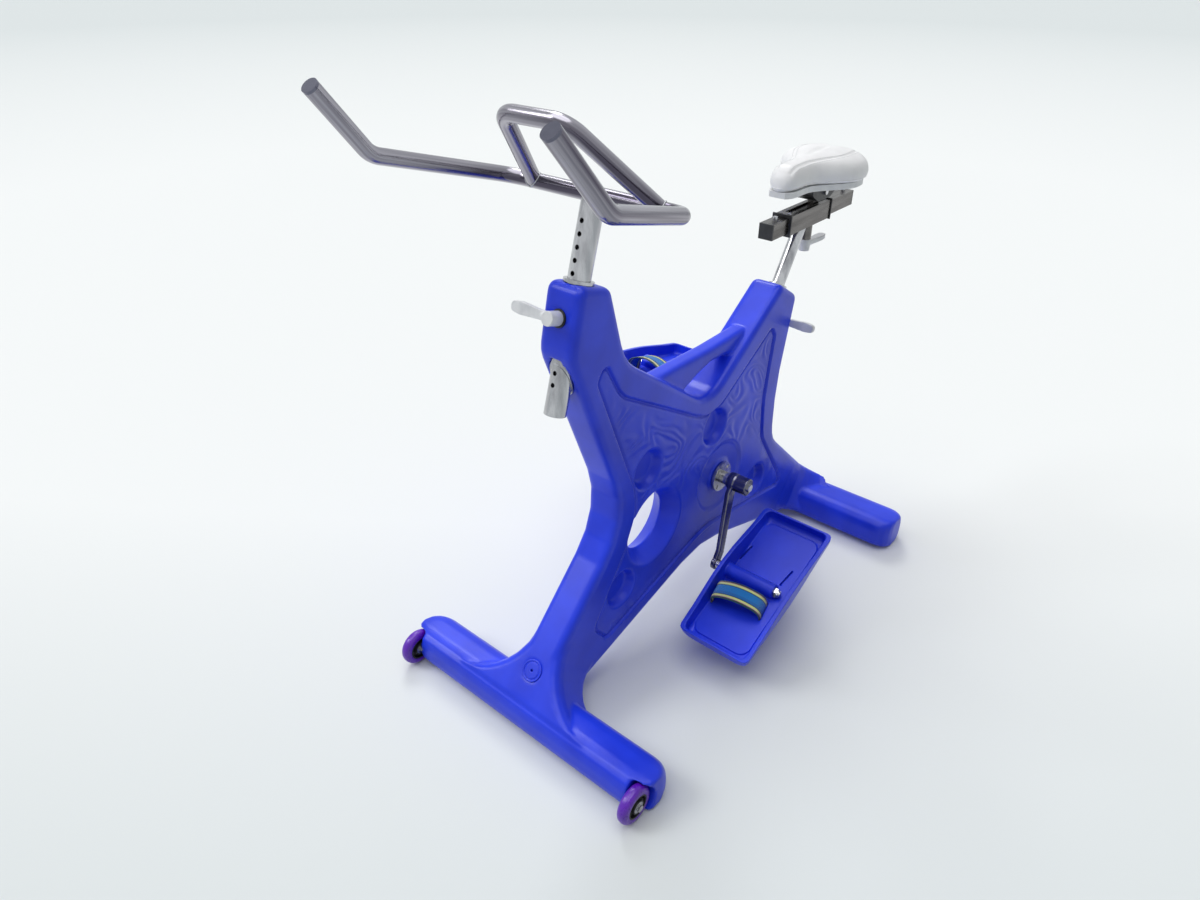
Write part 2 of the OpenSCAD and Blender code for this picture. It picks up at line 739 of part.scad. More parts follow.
module bearing_flanges() place() color(steel)
    both_sides() along_x(crank_at, web_half) difference() {
        ring(flange_d, axle_d + 6, flange_t);
        for (a = [45 : 90 : 315]) rotate([0, 0, a]) translate([flange_d / 2 - 8, 0, flange_t - 2])
            cylinder(h = 3, d = 9);
    }

module crank_bearings() place() color(steel)
    both_sides() along_x(crank_at, web_half - crank_bearing_w)
        ring(crank_bearing_d, axle_d + 2 * run_gap, crank_bearing_w);

// Crank axle with its two spacer collars and a threaded hole in each end
module crank_axle() place() color(steel)
    difference() {
        union() {
            along_x(crank_at, -axle_end) cylinder(h = 2 * axle_end, d = axle_d);
            both_sides() along_x(crank_at, flange_x + air)
                cylinder(h = boss_x - flange_x - air, d = axle_d + 8);
        }
        both_sides() along_x(crank_at, axle_end - 25) cylinder(h = 26, d = crank_bolt_d);
    }

// Frame of a crank: Y points to its pedal, X away from the body
module at_crank(side) {
    on_side(side) translate([0, crank_at[0], crank_at[1]])
        rotate([crank_angle + (side > 0 ? 0 : 180), 0, 0]) children();
}

module crank(side) place() color("#c9ccd2")
    at_crank(side) difference() {
        union() {
            along_x([0, 0], boss_x) cylinder(h = crank_boss_len, d = crank_boss_d);
            intersection() {
                along_x([0, 0], arm_root_x - 1) {
                    cylinder(h = arm_x - arm_root_x + crank_arm_t + 2, d = crank_arm_w + 10);
                    linear_extrude(arm_x - arm_root_x + crank_arm_t + 2) polygon([
                        [0, -crank_arm_w / 2], [crank_len, -eye_d / 2 + 3],
                        [crank_len, eye_d / 2 - 3], [0, crank_arm_w / 2]]);
                    translate([crank_len, 0, 0])
                        cylinder(h = arm_x - arm_root_x + crank_arm_t + 2, d = eye_d);
                }
                translate([0, 0, -crank_arm_w]) linear_extrude(2 * crank_arm_w) polygon([
                    [arm_root_x, -crank_arm_w], [arm_root_x + crank_arm_t, -crank_arm_w],
                    [arm_root_x + crank_arm_t, crank_arm_w],
                    [arm_x + crank_arm_t, crank_len - eye_d],
                    [arm_x + crank_arm_t, crank_len + eye_d],
                    [arm_x, crank_len + eye_d], [arm_x, crank_len - eye_d],
                    [arm_root_x, crank_arm_w]]);
            }
        }
        along_x([0, 0], boss_x - 1) cylinder(h = axle_end - boss_x + 1, d = axle_d);
        along_x([0, 0], boss_x) cylinder(h = crank_boss_len + 1, d = crank_bolt_d + 1);
        along_x([crank_len, 0], arm_x - 1) cylinder(h = crank_arm_t + 2, d = pedal_axle_d);
    }

module crank_bolts() place() color(steel)
    both_sides() {
        along_x(crank_at, axle_end - 22) cylinder(h = 26, d = crank_bolt_d);
        along_x(crank_at, axle_end + 4) cylinder(h = 5, d = crank_bolt_d + 10, $fn = 6);
    }

// Frame of a pedal: origin on its axle, level as the tray stands
module at_pedal(side) {
    a = crank_angle + (side > 0 ? 0 : 180);
    on_side(side)
        translate([0, crank_at[0] + crank_len * cos(a), crank_at[1] + crank_len * sin(a)])
            rotate([side > 0 ? left_tilt : right_tilt, 0, 0]) children();
}

// Swell of rims and belly, 1 at mid length and 0 at the ends
function swell(y, half) = pow(cos(90 * y / half), 2);

// How far a quarter round of radius r draws in at the distance left to the end
function draw_in(left, r) = left >= r ? 0 : r - sqrt(r * r - pow(r - left, 2));

// Ring across the tray at y: wall taken off, floor height, top of both rims
function tray_ring(y, wall, half, floor_z, top_in, top_out, r) =
    let (
        left = half - abs(y),
        e = wall + draw_in(left, 12),
        base = floor_z + draw_in(left, 12))
    [for (p = rounded([
        [tray_in + e, -top_in, 1], [tray_out - e, -top_out, 1],
        [tray_out - e - 7, -base, r], [tray_in + e + 7, -base, r]], steps = 4))
        [p[0], y, -p[1]]];

// Places of the rings along half a tray
function tray_stops(half) = [half, half - 1.5, half - 5, half - 12, half - 60, half - 100, 40, 0];
function both_ends(list) =
    let (n = len(list)) concat([for (k = list) -k], [for (i = [n - 2 : -1 : 0]) list[i]]);

// Boat-shaped tray with arched rims, a footbed in a moat and a tube over the axle
module pedal_tray(side) place() color(body_blue)
    at_pedal(side) difference() {
        union() {
            difference() {
                skin([for (y = both_ends(tray_stops(tray_len / 2)))
                    tray_ring(
                        y, 0, tray_len / 2,
                        -belly_end - belly_mid * swell(y, tray_len / 2),
                        rim_h + rim_rise_in * swell(y, tray_len / 2),
                        rim_h + rim_rise_out * swell(y, tray_len / 2), 22)]);
                skin([for (y = both_ends(tray_stops(tray_len / 2 - tray_wall)))
                    tray_ring(y, tray_wall, tray_len / 2 - tray_wall, -moat_z, 90, 90, 9)]);
            }
            translate([0, 0, -moat_z - 1]) linear_extrude(footbed_h + 1)
                polygon(rounded([
                    [tray_in + 15, -tray_len / 2 + 20, 22], [tray_out - 20, -tray_len / 2 + 20, 22],
                    [tray_out - 20, tray_len / 2 - 20, 22], [tray_in + 15, tray_len / 2 - 20, 22]],
                    step = 15));
            along_x([0, 0], tray_in + 2) cylinder(h = tube_end - tray_in - 2, d = cross_tube_d);
        }
        along_x([0, 0], tray_in - 1) cylinder(h = tube_end - tray_in + 2, d = bush_d);
        for (m = [0, 1]) mirror([0, m, 0]) at_strap() both_sides()
            translate([strap_half - strap_t / 2, 0, 0])
                cube([strap_t + 2 * air, strap_w + 2 * air, 120], center = true);
        at_strap() translate([-strap_half - 20, 0, tail_z])
            cube([40 + strap_t, strap_w + 2 * air, strap_t + 2 * air], center = true);
    }

// Frame of the foot strap: origin between its two slots
module at_strap() {
    translate([(tray_in + tray_out) / 2 - 13, -54, 0]) rotate([0, 0, 8]) children();
}

// Flat strap over the foot, down through two slots, its tail out at the crank's side
module strap(side) place() color("#1fb4c8")
    at_pedal(side) at_strap() rotate([90, 0, 0]) translate([0, 0, -strap_w / 2])
        linear_extrude(strap_w) polygon(rounded(concat(
            [[edge_in[0][0], strap_foot, 0.5], [strap_half, strap_foot, 0.5]],
            [for (k = [1 : 3]) [edge_out[k][0], edge_out[k][1], strap_bends[k]]],
            [[-strap_half, tail_z + strap_t / 2, 1], [tail_x, tail_z + strap_t / 2, 0.4],
                [tail_x, tail_z - strap_t / 2, 0.4], [edge_in[4][0], tail_z - strap_t / 2, 1]],
            [for (k = [3 : -1 : 1]) [edge_in[k][0], edge_in[k][1], strap_bends[k] - strap_t]]),
            step = 10));

module pedal_bushes(side) place() color(dark)
    at_pedal(side) {
        along_x([0, 0], tray_in) ring(bush_d, pedal_axle_d + 2 * run_gap, bush_len);
        along_x([0, 0], tube_end - bush_len)
            ring(bush_d, pedal_axle_d + 2 * run_gap, bush_len);
    }

module pedal_axle(side) place() color(steel)
    at_pedal(side) {
        along_x([0, 0], arm_x) cylinder(h = tube_end + air - arm_x, d = pedal_axle_d);
        along_x([0, 0], arm_x + crank_arm_t)
            cylinder(h = pedal_gap - air, d = pedal_axle_d + 6);
        along_x([0, 0], tube_end) cylinder(h = nut_t + 3, d = pedal_axle_d - 4);
    }

// Slotted nut on the end of each pedal axle
module pedal_nuts() place() color("#d4d7dc")
    for (side = [1, -1]) at_pedal(side) along_x([0, 0], tube_end + air) difference() {
        union() {
            cylinder(h = nut_t - 3, d = pedal_axle_d + 8, $fn = 6);
            cylinder(h = nut_t, d = pedal_axle_d + 3);
        }
        translate([0, 0, -1]) cylinder(h = nut_t + 2, d = pedal_axle_d - 4);
        for (a = [0, 60, 120]) rotate([0, 0, a]) translate([0, 0, nut_t])
            cube([40, 2.5, 6], center = true);
    }

// Round post of the handlebar, with index holes down its front
module handlebar_post() place() color(steel)
    difference() {
        aim(head_top, post_up) difference() {
            translate([0, 0, -post_below]) cylinder(h = post_below + post_top, d = post_d);
            translate([0, 0, -post_below - 1])
                cylinder(h = post_below + post_top + 1 - post_cap, d = post_d - 2 * tube_wall);
            for (k = [0 : floor((post_top - post_cap - index_low) / index_pitch) - 1])
                translate([0, 0, index_low + k * index_pitch]) rotate([90, 0, 0])
                    translate([0, 0, post_d / 2 - 8]) cylinder(h = 12, d = index_d);
        }
        along_x(bar_at, -bar_root_x) cylinder(h = 2 * bar_root_x, d = bar_d);
    }

// Moves the children to o, with their X along x and their Z along z
module frame_at(o, x, z) {
    y = cross(z, x);
    multmatrix([
        [x[0], y[0], z[0], o[0]], [x[1], y[1], z[1], o[1]],
        [x[2], y[2], z[2], o[2]], [0, 0, 0, 1]]) children();
}

// Points and directions round the bend at p of a path from a to b
function bend_at(a, p, b, r, n) =
    let (
        u = unit(p - a),
        w = unit(b - p),
        half = acos(u * w) / 2,
        centre = p + unit(w - u) * r / cos(half),
        x = unit(p - u * r * tan(half) - centre))
    [for (k = [0 : n])
        let (s = 2 * half * k / n)
        [centre + r * (x * cos(s) + u * sin(s)), u * cos(s) - x * sin(s)]];

// Points and directions along a path with bends of radius r
function bent_path(path, r, n) =
    let (m = len(path) - 1)
    concat(
        [[path[0], unit(path[1] - path[0])]],
        [for (i = [1 : m - 1]) each bend_at(path[i - 1], path[i], path[i + 1], r, n)],
        [[path[m], unit(path[m] - path[m - 1])]]);

// Side directions carried along the path without twist
function carried(run, first) =
    [for (i = 0, x = unit(first - (first * run[0][1]) * run[0][1]); i < len(run);
        i = i + 1,
        x = i < len(run) ? unit(x - (x * run[i][1]) * run[i][1]) : x) x];

// Open tube of outer diameter d along a path, with bends of radius r
module bent_tube(path, r, d, wall) {
    run = bent_path(path, r, bend_steps);
    side = carried(run, [0, 0.8, 0.6]);
    m = len(run);
    n = tube_sides;
    rings = [for (i = [0 : 2 * m - 1])
        let (
            k = i < m ? i : 2 * m - 1 - i,
            x = side[k],
            y = cross(run[k][1], x),
            radius = i < m ? d / 2 : d / 2 - wall)
        [for (j = [0 : n - 1]) run[k][0] + radius * (x * cos(360 * j / n) + y * sin(360 * j / n))]];
    polyhedron(
        points = [for (r = rings) each r],
        faces = [for (i = [0 : 2 * m - 1], j = [0 : n - 1])
            let (
                a = i * n + j,
                b = i * n + (j + 1) % n,
                next = ((i + 1) % (2 * m)) * n,
                c = next + (j + 1) % n,
                e = next + j)
            each [[a, e, c], [a, c, b]]],
        convexity = 6);
}

bar_end = bar_tip - cap_t * tip_dir;
bar_path = [
    [-bar_end[0], bar_end[1], bar_end[2]], [-bar_bend[0], bar_bend[1], bar_bend[2]],
    [-bar_root_x, bar_at[0], bar_at[1]], [bar_root_x, bar_at[0], bar_at[1]], bar_bend, bar_end];
loop_path = [
    [-loop_base_x, bar_at[0], bar_at[1]], [-loop_top[0], loop_top[1], loop_top[2]],
    loop_top, [loop_base_x, bar_at[0], bar_at[1]]];

// Bent tube with a cross bar and two raised grips
module handlebar() place() color(steel)
    bent_tube(bar_path, bend_r, bar_d, tube_wall);

// Closed loop between the grips, coped to the cross bar
module handlebar_loop() place() color(steel)
    difference() {
        bent_tube(loop_path, bend_r - 6, bar_d, tube_wall);
        along_x(bar_at, -bar_root_x) cylinder(h = 2 * bar_root_x, d = bar_d);
    }

module bar_end_caps() place() color("#d4d7dc")
    both_sides() frame_at(bar_end, unit(cross(tip_dir, [1, 0, 0])), tip_dir) {
        cylinder(h = cap_t, d = bar_d);
        translate([0, 0, -8]) cylinder(h = 9, d = bar_plug_d);
    }

module clamp_insert(at, out) place() color("#b99a4a")
    aim(at, out) translate([0, 0, -insert_len])
        ring(insert_d, stud_d + 2 * run_gap, insert_len);

module clamp_washer(at, out) place() color(dark)
    aim(at, out) ring(lever_boss_d + 6, stud_d + 2 * run_gap, washer_t);

// Stud from the lever's boss in to the post, its tip just clear of the post
module clamp_stud(at, out, deep, tip) place() color(steel)
    aim(at, out) translate([0, 0, -deep + tip]) {
        translate([0, 0, 2])
            cylinder(h = deep - tip - 2 + washer_t + lever_boss_len - lever_cap - air, d = stud_d);
        cylinder(h = 2.01, d1 = stud_d - 4, d2 = stud_d);
    }

// Lever with a round boss, a collar and a flat blade along X
module lever_shape() {
    difference() {
        union() {
            translate([0, 0, washer_t]) cylinder(h = lever_boss_len, d = lever_boss_d);
            translate([0, 0, lever_mid]) rotate([0, 90, 0])
                cylinder(h = lever_boss_d / 2 + 7, d = lever_boss_len - 9);
            translate([0, 0, lever_mid - 5]) linear_extrude(10) polygon(rounded([
                [8, -7, 2], [lever_boss_d / 2 + 10, -7.5, 6], [lever_len - 20, -10.5, 20],
                [lever_len, -8, 7], [lever_len, 8, 7], [lever_len - 20, 10.5, 20],
                [lever_boss_d / 2 + 10, 7.5, 6], [8, 7, 2]], step = 30));
        }
        translate([0, 0, washer_t - 1]) cylinder(h = lever_boss_len - lever_cap + 1, d = stud_d);
    }
}

module head_insert() clamp_insert(head_pad, post_fwd);
module head_washer() clamp_washer(head_pad, post_fwd);
module head_stud() clamp_stud(head_pad, post_fwd, head_face, post_d / 2 + air);
module head_lever() place() color("#e3e5e8")
    aim(head_pad, post_fwd) rotate([0, 0, 180]) lever_shape();

module column_insert() clamp_insert(column_pad, column_out);
module column_washer() clamp_washer(column_pad, column_out);
module column_stud() clamp_stud(column_pad, column_out, column_face, column_tip);
module column_lever() place() color("#e3e5e8")
    aim(column_pad, column_out) lever_shape();

// Round post of the seat, welded under the sleeve
module seat_post() place() color(steel)
    difference() {
        aim(column_top, seat_up) difference() {
            translate([0, 0, -seat_below]) cylinder(h = seat_below + seat_rise, d = seat_post_d);
            translate([0, 0, -seat_below - 1])
                cylinder(h = seat_below + seat_rise + 2, d = seat_post_d - 2 * tube_wall);
            for (k = [0 : floor(70 / index_pitch)])
                translate([0, 0, index_seat + k * index_pitch]) rotate([-90, 0, 0])
                    translate([0, 0, seat_post_d / 2 - 6]) cylinder(h = 10, d = index_d);
        }
        translate([-seat_post_d, seat_at - 2 * seat_rise, sleeve_z])
            cube([2 * seat_post_d, 4 * seat_rise, 2 * seat_rise]);
    }

// Square tube along Y about the axis of the rail
module square_tube(y, len, outer, inner) {
    translate([-outer / 2, y, rail_z - outer / 2]) difference() {
        cube([outer, len, outer]);
        translate([(outer - inner) / 2, -1, (outer - inner) / 2]) cube([inner, len + 2, inner]);
    }
}

// Slot in the top of the sleeve for the saddle's stand
module stand_slot() {
    translate([-slot_w / 2, stand_y - stand_half - slide_fwd - 1, rail_z])
        cube([slot_w, slide_fwd + slide_back + 2 * stand_half + 2, sleeve_size]);
}

module slider_sleeve() place() color(steel)
    difference() {
        union() {
            square_tube(sleeve_y, sleeve_len, sleeve_size, sleeve_inner);
            translate([0, slider_y, sleeve_z - slider_boss])
                cylinder(h = slider_boss, d = lever_boss_d);
        }
        stand_slot();
        translate([0, slider_y, sleeve_z - slider_boss - 1])
            cylinder(h = slider_boss + 12, d = stud_d + 2 * run_gap);
        for (x = [-sleeve_size / 4, sleeve_size / 4])
            translate([x, sleeve_y + 8, sleeve_top - sleeve_wall - 1]) cylinder(h = 9, d = 4);
    }

// Plastic linings in both ends of the sleeve, with a collar outside
module sleeve_bushings() place() color(dark)
    difference() {
        union() {
            square_tube(sleeve_y - collar_t, collar_t, collar_size, rail_size + 2 * air);
            square_tube(sleeve_end, collar_t, collar_size, rail_size + 2 * air);
            for (y = [sleeve_y, sleeve_end - 20])
                square_tube(y, 20, sleeve_inner, rail_size + 2 * air);
        }
        stand_slot();
    }

module sleeve_screws() place() color(steel)
    for (x = [-sleeve_size / 4, sleeve_size / 4]) translate([x, sleeve_y + 8, sleeve_top]) {
        translate([0, 0, -sleeve_wall + 0.2]) cylinder(h = sleeve_wall + 1, d = 4);
        cylinder(h = 2.5, d = 7);
    }

// Clamp screw of the slider, up against the rail
module slider_stud() place() color(steel)
    translate([0, slider_y, slider_stud_z])
        cylinder(h = rail_z - rail_half - air - slider_stud_z, d = stud_d);

module slider_lever() place() color("#e3e5e8")
    aim([slider_y, sleeve_z - slider_boss + washer_t - air], [0, -1])
        rotate([0, 0, -90]) lever_shape();

module seat_rail() place() color(steel)
    difference() {
        square_tube(rail_y + cap_t, rail_len - 2 * cap_t, rail_size, rail_size - 2 * tube_wall);
        for (y = [stop_front, stop_rear])
            translate([0, y, rail_z]) cylinder(h = rail_size, d = stop_r);
    }

module rail_caps() place() color(dark)
    for (end = [0, 1]) translate([0, end * (2 * rail_y + rail_len), 0]) mirror([0, end, 0])
        difference() {
            union() {
                translate([-rail_half, rail_y, rail_z - rail_half])
                    cube([rail_size, cap_t, rail_size]);
                translate([-rail_plug / 2, rail_y, rail_z - rail_plug / 2])
                    cube([rail_plug, cap_t + 10, rail_plug]);
            }
            translate([-rail_plug / 2 + 3, rail_y + cap_t, rail_z - rail_plug / 2 + 3])
                cube([rail_plug - 6, 20, rail_plug - 6]);
        }

module rail_stops() place() color(steel)
    for (y = [stop_front, stop_rear]) translate([0, y, rail_z + rail_half]) {
        translate([0, 0, -tube_wall]) cylinder(h = tube_wall + 1, d = stop_r);
        cylinder(h = 8, d = 2 * stop_r);
    }

// Steel stand on the rail, with a round eye for the saddle's tilt bolt
module saddle_stand() place() color(steel)
    difference() {
        union() {
            translate([-stand_t / 2, stand_y - stand_half, rail_z + rail_half])
                cube([stand_t, 2 * stand_half, tilt_z - rail_z - rail_half]);
            along_x([stand_y, tilt_z], -stand_t / 2) cylinder(h = stand_t, r = stand_half);
        }
        along_x([stand_y, tilt_z], -stand_t) cylinder(h = 2 * stand_t, d = saddle_bolt_d);
    }

// Black clamp block under the saddle, slotted for the stand's eye
module saddle_clamp() place() color(dark)
    difference() {
        translate([-clamp_half, 0, 0]) rotate([90, 0, 90]) linear_extrude(2 * clamp_half)
            polygon(rounded([
                [stand_y - 24, clamp_z, 10], [stand_y + 26, clamp_z, 10],
                [clamp_y[1], clamp_z + 17, 8], [clamp_y[1], clamp_top, 2],
                [clamp_y[0], clamp_top, 2], [clamp_y[0], clamp_z + 16, 8]], step = 15));
        translate([-stand_t / 2 - air, stand_y - stand_half - 3, clamp_z - 1])
            cube([stand_t + 2 * air, 2 * stand_half + 6, tilt_z - clamp_z + stand_half + 2]);
        along_x([stand_y, tilt_z], -clamp_half - 1)
            cylinder(h = 2 * clamp_half + 2, d = saddle_bolt_d + 2 * run_gap);
    }

module saddle_bolt() place() color(steel) {
    along_x([stand_y, tilt_z], -clamp_half - air)
        cylinder(h = 2 * clamp_half + 2 * air, d = saddle_bolt_d);
    both_sides() along_x([stand_y, tilt_z], clamp_half + air)
        cylinder(h = 5, d = saddle_bolt_d + 6, $fn = 6);
}

// Half width of the saddle at the distance y behind its nose
function saddle_half(y) =
    let (
        t = max(0, min(1, (y / saddle_len - 0.28) / 0.42)),
        wide = 0.17 * saddle_w + 0.33 * saddle_w * t * t * (3 - 2 * t))
    wide * sqrt(1 - pow(max(0, 1 - y / 34), 2)) * sqrt(1 - pow(max(0, 1 - (saddle_len - y) / 62), 2));

// Height of the cushion's crown at y
function saddle_crown(y) = saddle_h
    * pow(1 - pow(max(0, 1 - y / 44), 2.4), 0.5)
    * pow(1 - pow(max(0, 1 - (saddle_len - y) / 50), 2.4), 0.5)
    * (0.86 + 0.14 * y / saddle_len);

// Places of the sections along the saddle, closer at its ends
saddle_rows = [for (k = [0 : 22]) saddle_len * (1 - cos(180 * (k + 0.35) / 22.7)) / 2];

// Section across the cushion at y: drawn-in underside, round sides, crown with a channel
function saddle_ring(y) =
    let (w = saddle_half(y), h = saddle_crown(y), tuck = min(9, 0.4 * w))
    concat(
        [[w - tuck, y, 0], [tuck - w, y, 0]],
        [for (k = [24 : -1 : 0])
            let (
                s = sin(7.5 * k),
                c = cos(7.5 * k),
                x = w * sign(c) * pow(abs(c), 0.75),
                dip = 7 * exp(-pow(x / 12, 2)) * saddle_dip(y))
            [x, y, min(12, 0.3 * h) + (h - min(12, 0.3 * h)) * pow(s, 0.7) - dip]]);

// Depth of the channel along the saddle, from 0 at nose and tail to 1
function saddle_dip(y) = pow(sin(180 * max(0, min(1, (y / saddle_len - 0.12) / 0.84))), 0.7);

module saddle() place() color("#f2f2f0")
    translate([0, saddle_y, saddle_z]) skin([for (y = saddle_rows) saddle_ring(y)]);

// Hard shell under the cushion
module saddle_base() place() color(dark)
    translate([0, saddle_y, clamp_top]) {
        edge = [for (k = [2 : 20]) [0.86 * saddle_half(saddle_rows[k]), saddle_rows[k]]];
        linear_extrude(base_t) polygon(concat(
            [for (p = edge) p], [for (i = [len(edge) - 1 : -1 : 0]) [-edge[i][0], edge[i][1]]]));
    }

hull();
drain_plug();
head_bush();
column_bush();
front_pads();
rear_pads();
wheel_bolts();
tyre(1);  // left_tyre
tyre(-1);  // right_tyre
wheel_hub(1);  // left_wheel_hub
wheel_hub(-1);  // right_wheel_hub
wheel_bearings(1);  // left_wheel_bearings
wheel_bearings(-1);  // right_wheel_bearings
bearing_flanges();
crank_bearings();
crank_axle();
crank(1);  // left_crank
crank(-1);  // right_crank
crank_bolts();
pedal_tray(1);  // left_pedal_tray
pedal_tray(-1);  // right_pedal_tray
pedal_axle(1);  // left_pedal_axle
pedal_axle(-1);  // right_pedal_axle
pedal_nuts();
pedal_bushes(1);  // left_pedal_bushes
pedal_bushes(-1);  // right_pedal_bushes
strap(1);  // left_strap
strap(-1);  // right_strap
handlebar_post();
handlebar();
handlebar_loop();
bar_end_caps();
head_insert();
head_washer();
head_stud();
head_lever();
column_insert();
column_washer();
column_stud();
column_lever();
seat_post();
slider_sleeve();
sleeve_bushings();
sleeve_screws();
slider_stud();
slider_lever();
seat_rail();
rail_caps();
rail_stops();
saddle_stand();
saddle_clamp();
saddle_bolt();
saddle_base();
saddle();
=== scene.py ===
# %% [markdown]
# An aqua bike, dressed for its picture
#
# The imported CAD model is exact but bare. This lesson keeps it as a fixed frame and builds the
# looks round it: a softly moulded body and pedals, polished bent tubes, woven foot straps, a
# padded saddle, and a finish for every small part that the CAD model already shapes well.

import json
import math

import bmesh
import bpy
import numpy as np
from mathutils import Matrix, Vector
from mathutils.bvhtree import BVHTree


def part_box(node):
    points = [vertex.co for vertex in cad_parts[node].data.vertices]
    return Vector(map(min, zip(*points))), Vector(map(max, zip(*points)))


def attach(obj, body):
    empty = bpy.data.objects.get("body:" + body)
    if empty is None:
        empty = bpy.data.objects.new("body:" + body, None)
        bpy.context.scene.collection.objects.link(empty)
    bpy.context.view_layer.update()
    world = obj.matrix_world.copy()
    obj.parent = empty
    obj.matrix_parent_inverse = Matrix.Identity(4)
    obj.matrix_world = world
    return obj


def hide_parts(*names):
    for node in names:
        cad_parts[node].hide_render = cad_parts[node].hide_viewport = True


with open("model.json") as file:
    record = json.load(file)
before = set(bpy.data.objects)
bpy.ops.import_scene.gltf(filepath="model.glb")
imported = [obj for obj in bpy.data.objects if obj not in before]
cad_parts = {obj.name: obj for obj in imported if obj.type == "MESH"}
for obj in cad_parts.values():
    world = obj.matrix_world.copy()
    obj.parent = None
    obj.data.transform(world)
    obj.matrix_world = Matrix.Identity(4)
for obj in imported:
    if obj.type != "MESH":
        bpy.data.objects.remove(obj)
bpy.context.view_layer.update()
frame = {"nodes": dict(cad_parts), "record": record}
scene = bpy.context.scene
scene.view_settings.view_transform = "Standard"

# %% [markdown]
# The CAD source counts its sizes in millimetres from the toe of the body, and then centres the
# whole bike front to back. One helper turns such a place into a point of the frame in metres,
# so every size below can be read next to the drawing.

# %% Places and lengths
CENTRE_BACK = 507.12445
MM = 0.001


def at(x, back, up):
    """A place in mm, counted from the toe, as a point of the frame in metres."""
    return Vector((x, back - CENTRE_BACK, up)) * MM


def degrees(*angles):
    return [math.radians(a) for a in angles]


# %% [markdown]
# The camera stands where the photographer's did: a little above the handlebar, in front of the
# bike and on the rider's left. Its heading, tilt and tiny roll were found by matching the ends
# of the feet, the bars and the pedals with the picture. The lens is wide, so near parts loom.

# %% Camera
CAMERA_AT = Vector((0.83666, -1.25174, 1.33))
HEADING, DOWN, ROLL = degrees(40.263, 31.894, 0.2385)
LENS, SENSOR = 25.379, 36

look = Vector((-math.sin(HEADING) * math.cos(DOWN), math.cos(HEADING) * math.cos(DOWN),
               -math.sin(DOWN)))
rolled = Matrix.Rotation(ROLL, 3, "Z").to_quaternion()
camera = bpy.data.objects.new("camera", bpy.data.cameras.new("camera"))
camera.data.lens = LENS
camera.data.sensor_width = SENSOR
camera.location = CAMERA_AT
camera.rotation_mode = "QUATERNION"
camera.rotation_quaternion = look.to_track_quat("-Z", "Y") @ rolled
scene.collection.objects.link(camera)
scene.camera = camera
print("camera looks along", [round(v, 3) for v in look])

# %% [markdown]
# A shader tree is a chain of small boxes. Building one by hand takes many lines, so a helper
# adds a box with its settings and input values at once, and another joins two boxes. The colour
# sockets of a Mix node are called by number, because their names repeat. The last helper tells
# rays that only look, straight or by way of a mirror, from rays that bring light.

# %% Helpers for node trees
MIX_A, MIX_B, MIX_OUT = 6, 7, 2


def box_of(tree, kind, values=None, **settings):
    """Adds a node, sets its properties and the given inputs, and returns it."""
    made = tree.nodes.new(kind)
    for key, value in settings.items():
        setattr(made, key, value)
    for key, value in (values or {}).items():
        made.inputs[key].default_value = value
    return made


def join(tree, source, output, target, entry):
    tree.links.new(source.outputs[output], target.inputs[entry])


def new_material(name, **shader_values):
    """A new material with the given shader values, its node tree and its shader."""
    made = bpy.data.materials.new(name)
    made.use_nodes = True
    shader = made.node_tree.nodes["Principled BSDF"]
    for key, value in shader_values.items():
        shader.inputs[key.replace("_", " ")].default_value = value
    return made, made.node_tree, shader


def any_ray(tree, first, *others):
    """The box and output whose value is 1 for rays of the named kinds, and 0 for others."""
    rays = box_of(tree, "ShaderNodeLightPath")
    last = (rays, first)
    for kind in others:
        either = box_of(tree, "ShaderNodeMath", operation="MAXIMUM")
        join(tree, *last, either, 0)
        join(tree, rays, kind, either, 1)
        last = (either, "Value")
    return last


# %% [markdown]
# The picture has a pale grey sweep, brighter in the middle, with a soft shadow under the bike.
# One large floor fills the whole view from this height. Its colour holds painted light: it is
# the product of two fades, one that paints shade on the near edge and one that falls off slowly
# with distance, which leaves a painted pool of light in the middle. It is matt, so that it takes
# the shadow and nothing else. For rays from the camera, and for mirrored ones, it also glows
# faintly, so that it stays pale without more light on the bike.

# %% Floor and backdrop
FLOOR_HALF = 30
# Painted light on the floor: a pale middle pool whose colour darkens to painted shade towards the
# edges.
PALE_MID = (0.765, 0.785, 0.785, 1)
PAINTED_EDGE_SHADE = (0.60, 0.64, 0.645, 1)
MID_FROM, GLOW = 0.7, 0.04
FLOOR_ROUGH, FLOOR_SHINE = 0.9, 0.1
NEAR_TURN, NEAR_SCALE, NEAR_SHIFT = -130.263, 0.625, 0.56
LIGHT_POOL_MIDDLE, LIGHT_POOL_RADIUS = (-0.65, 0.5), 14


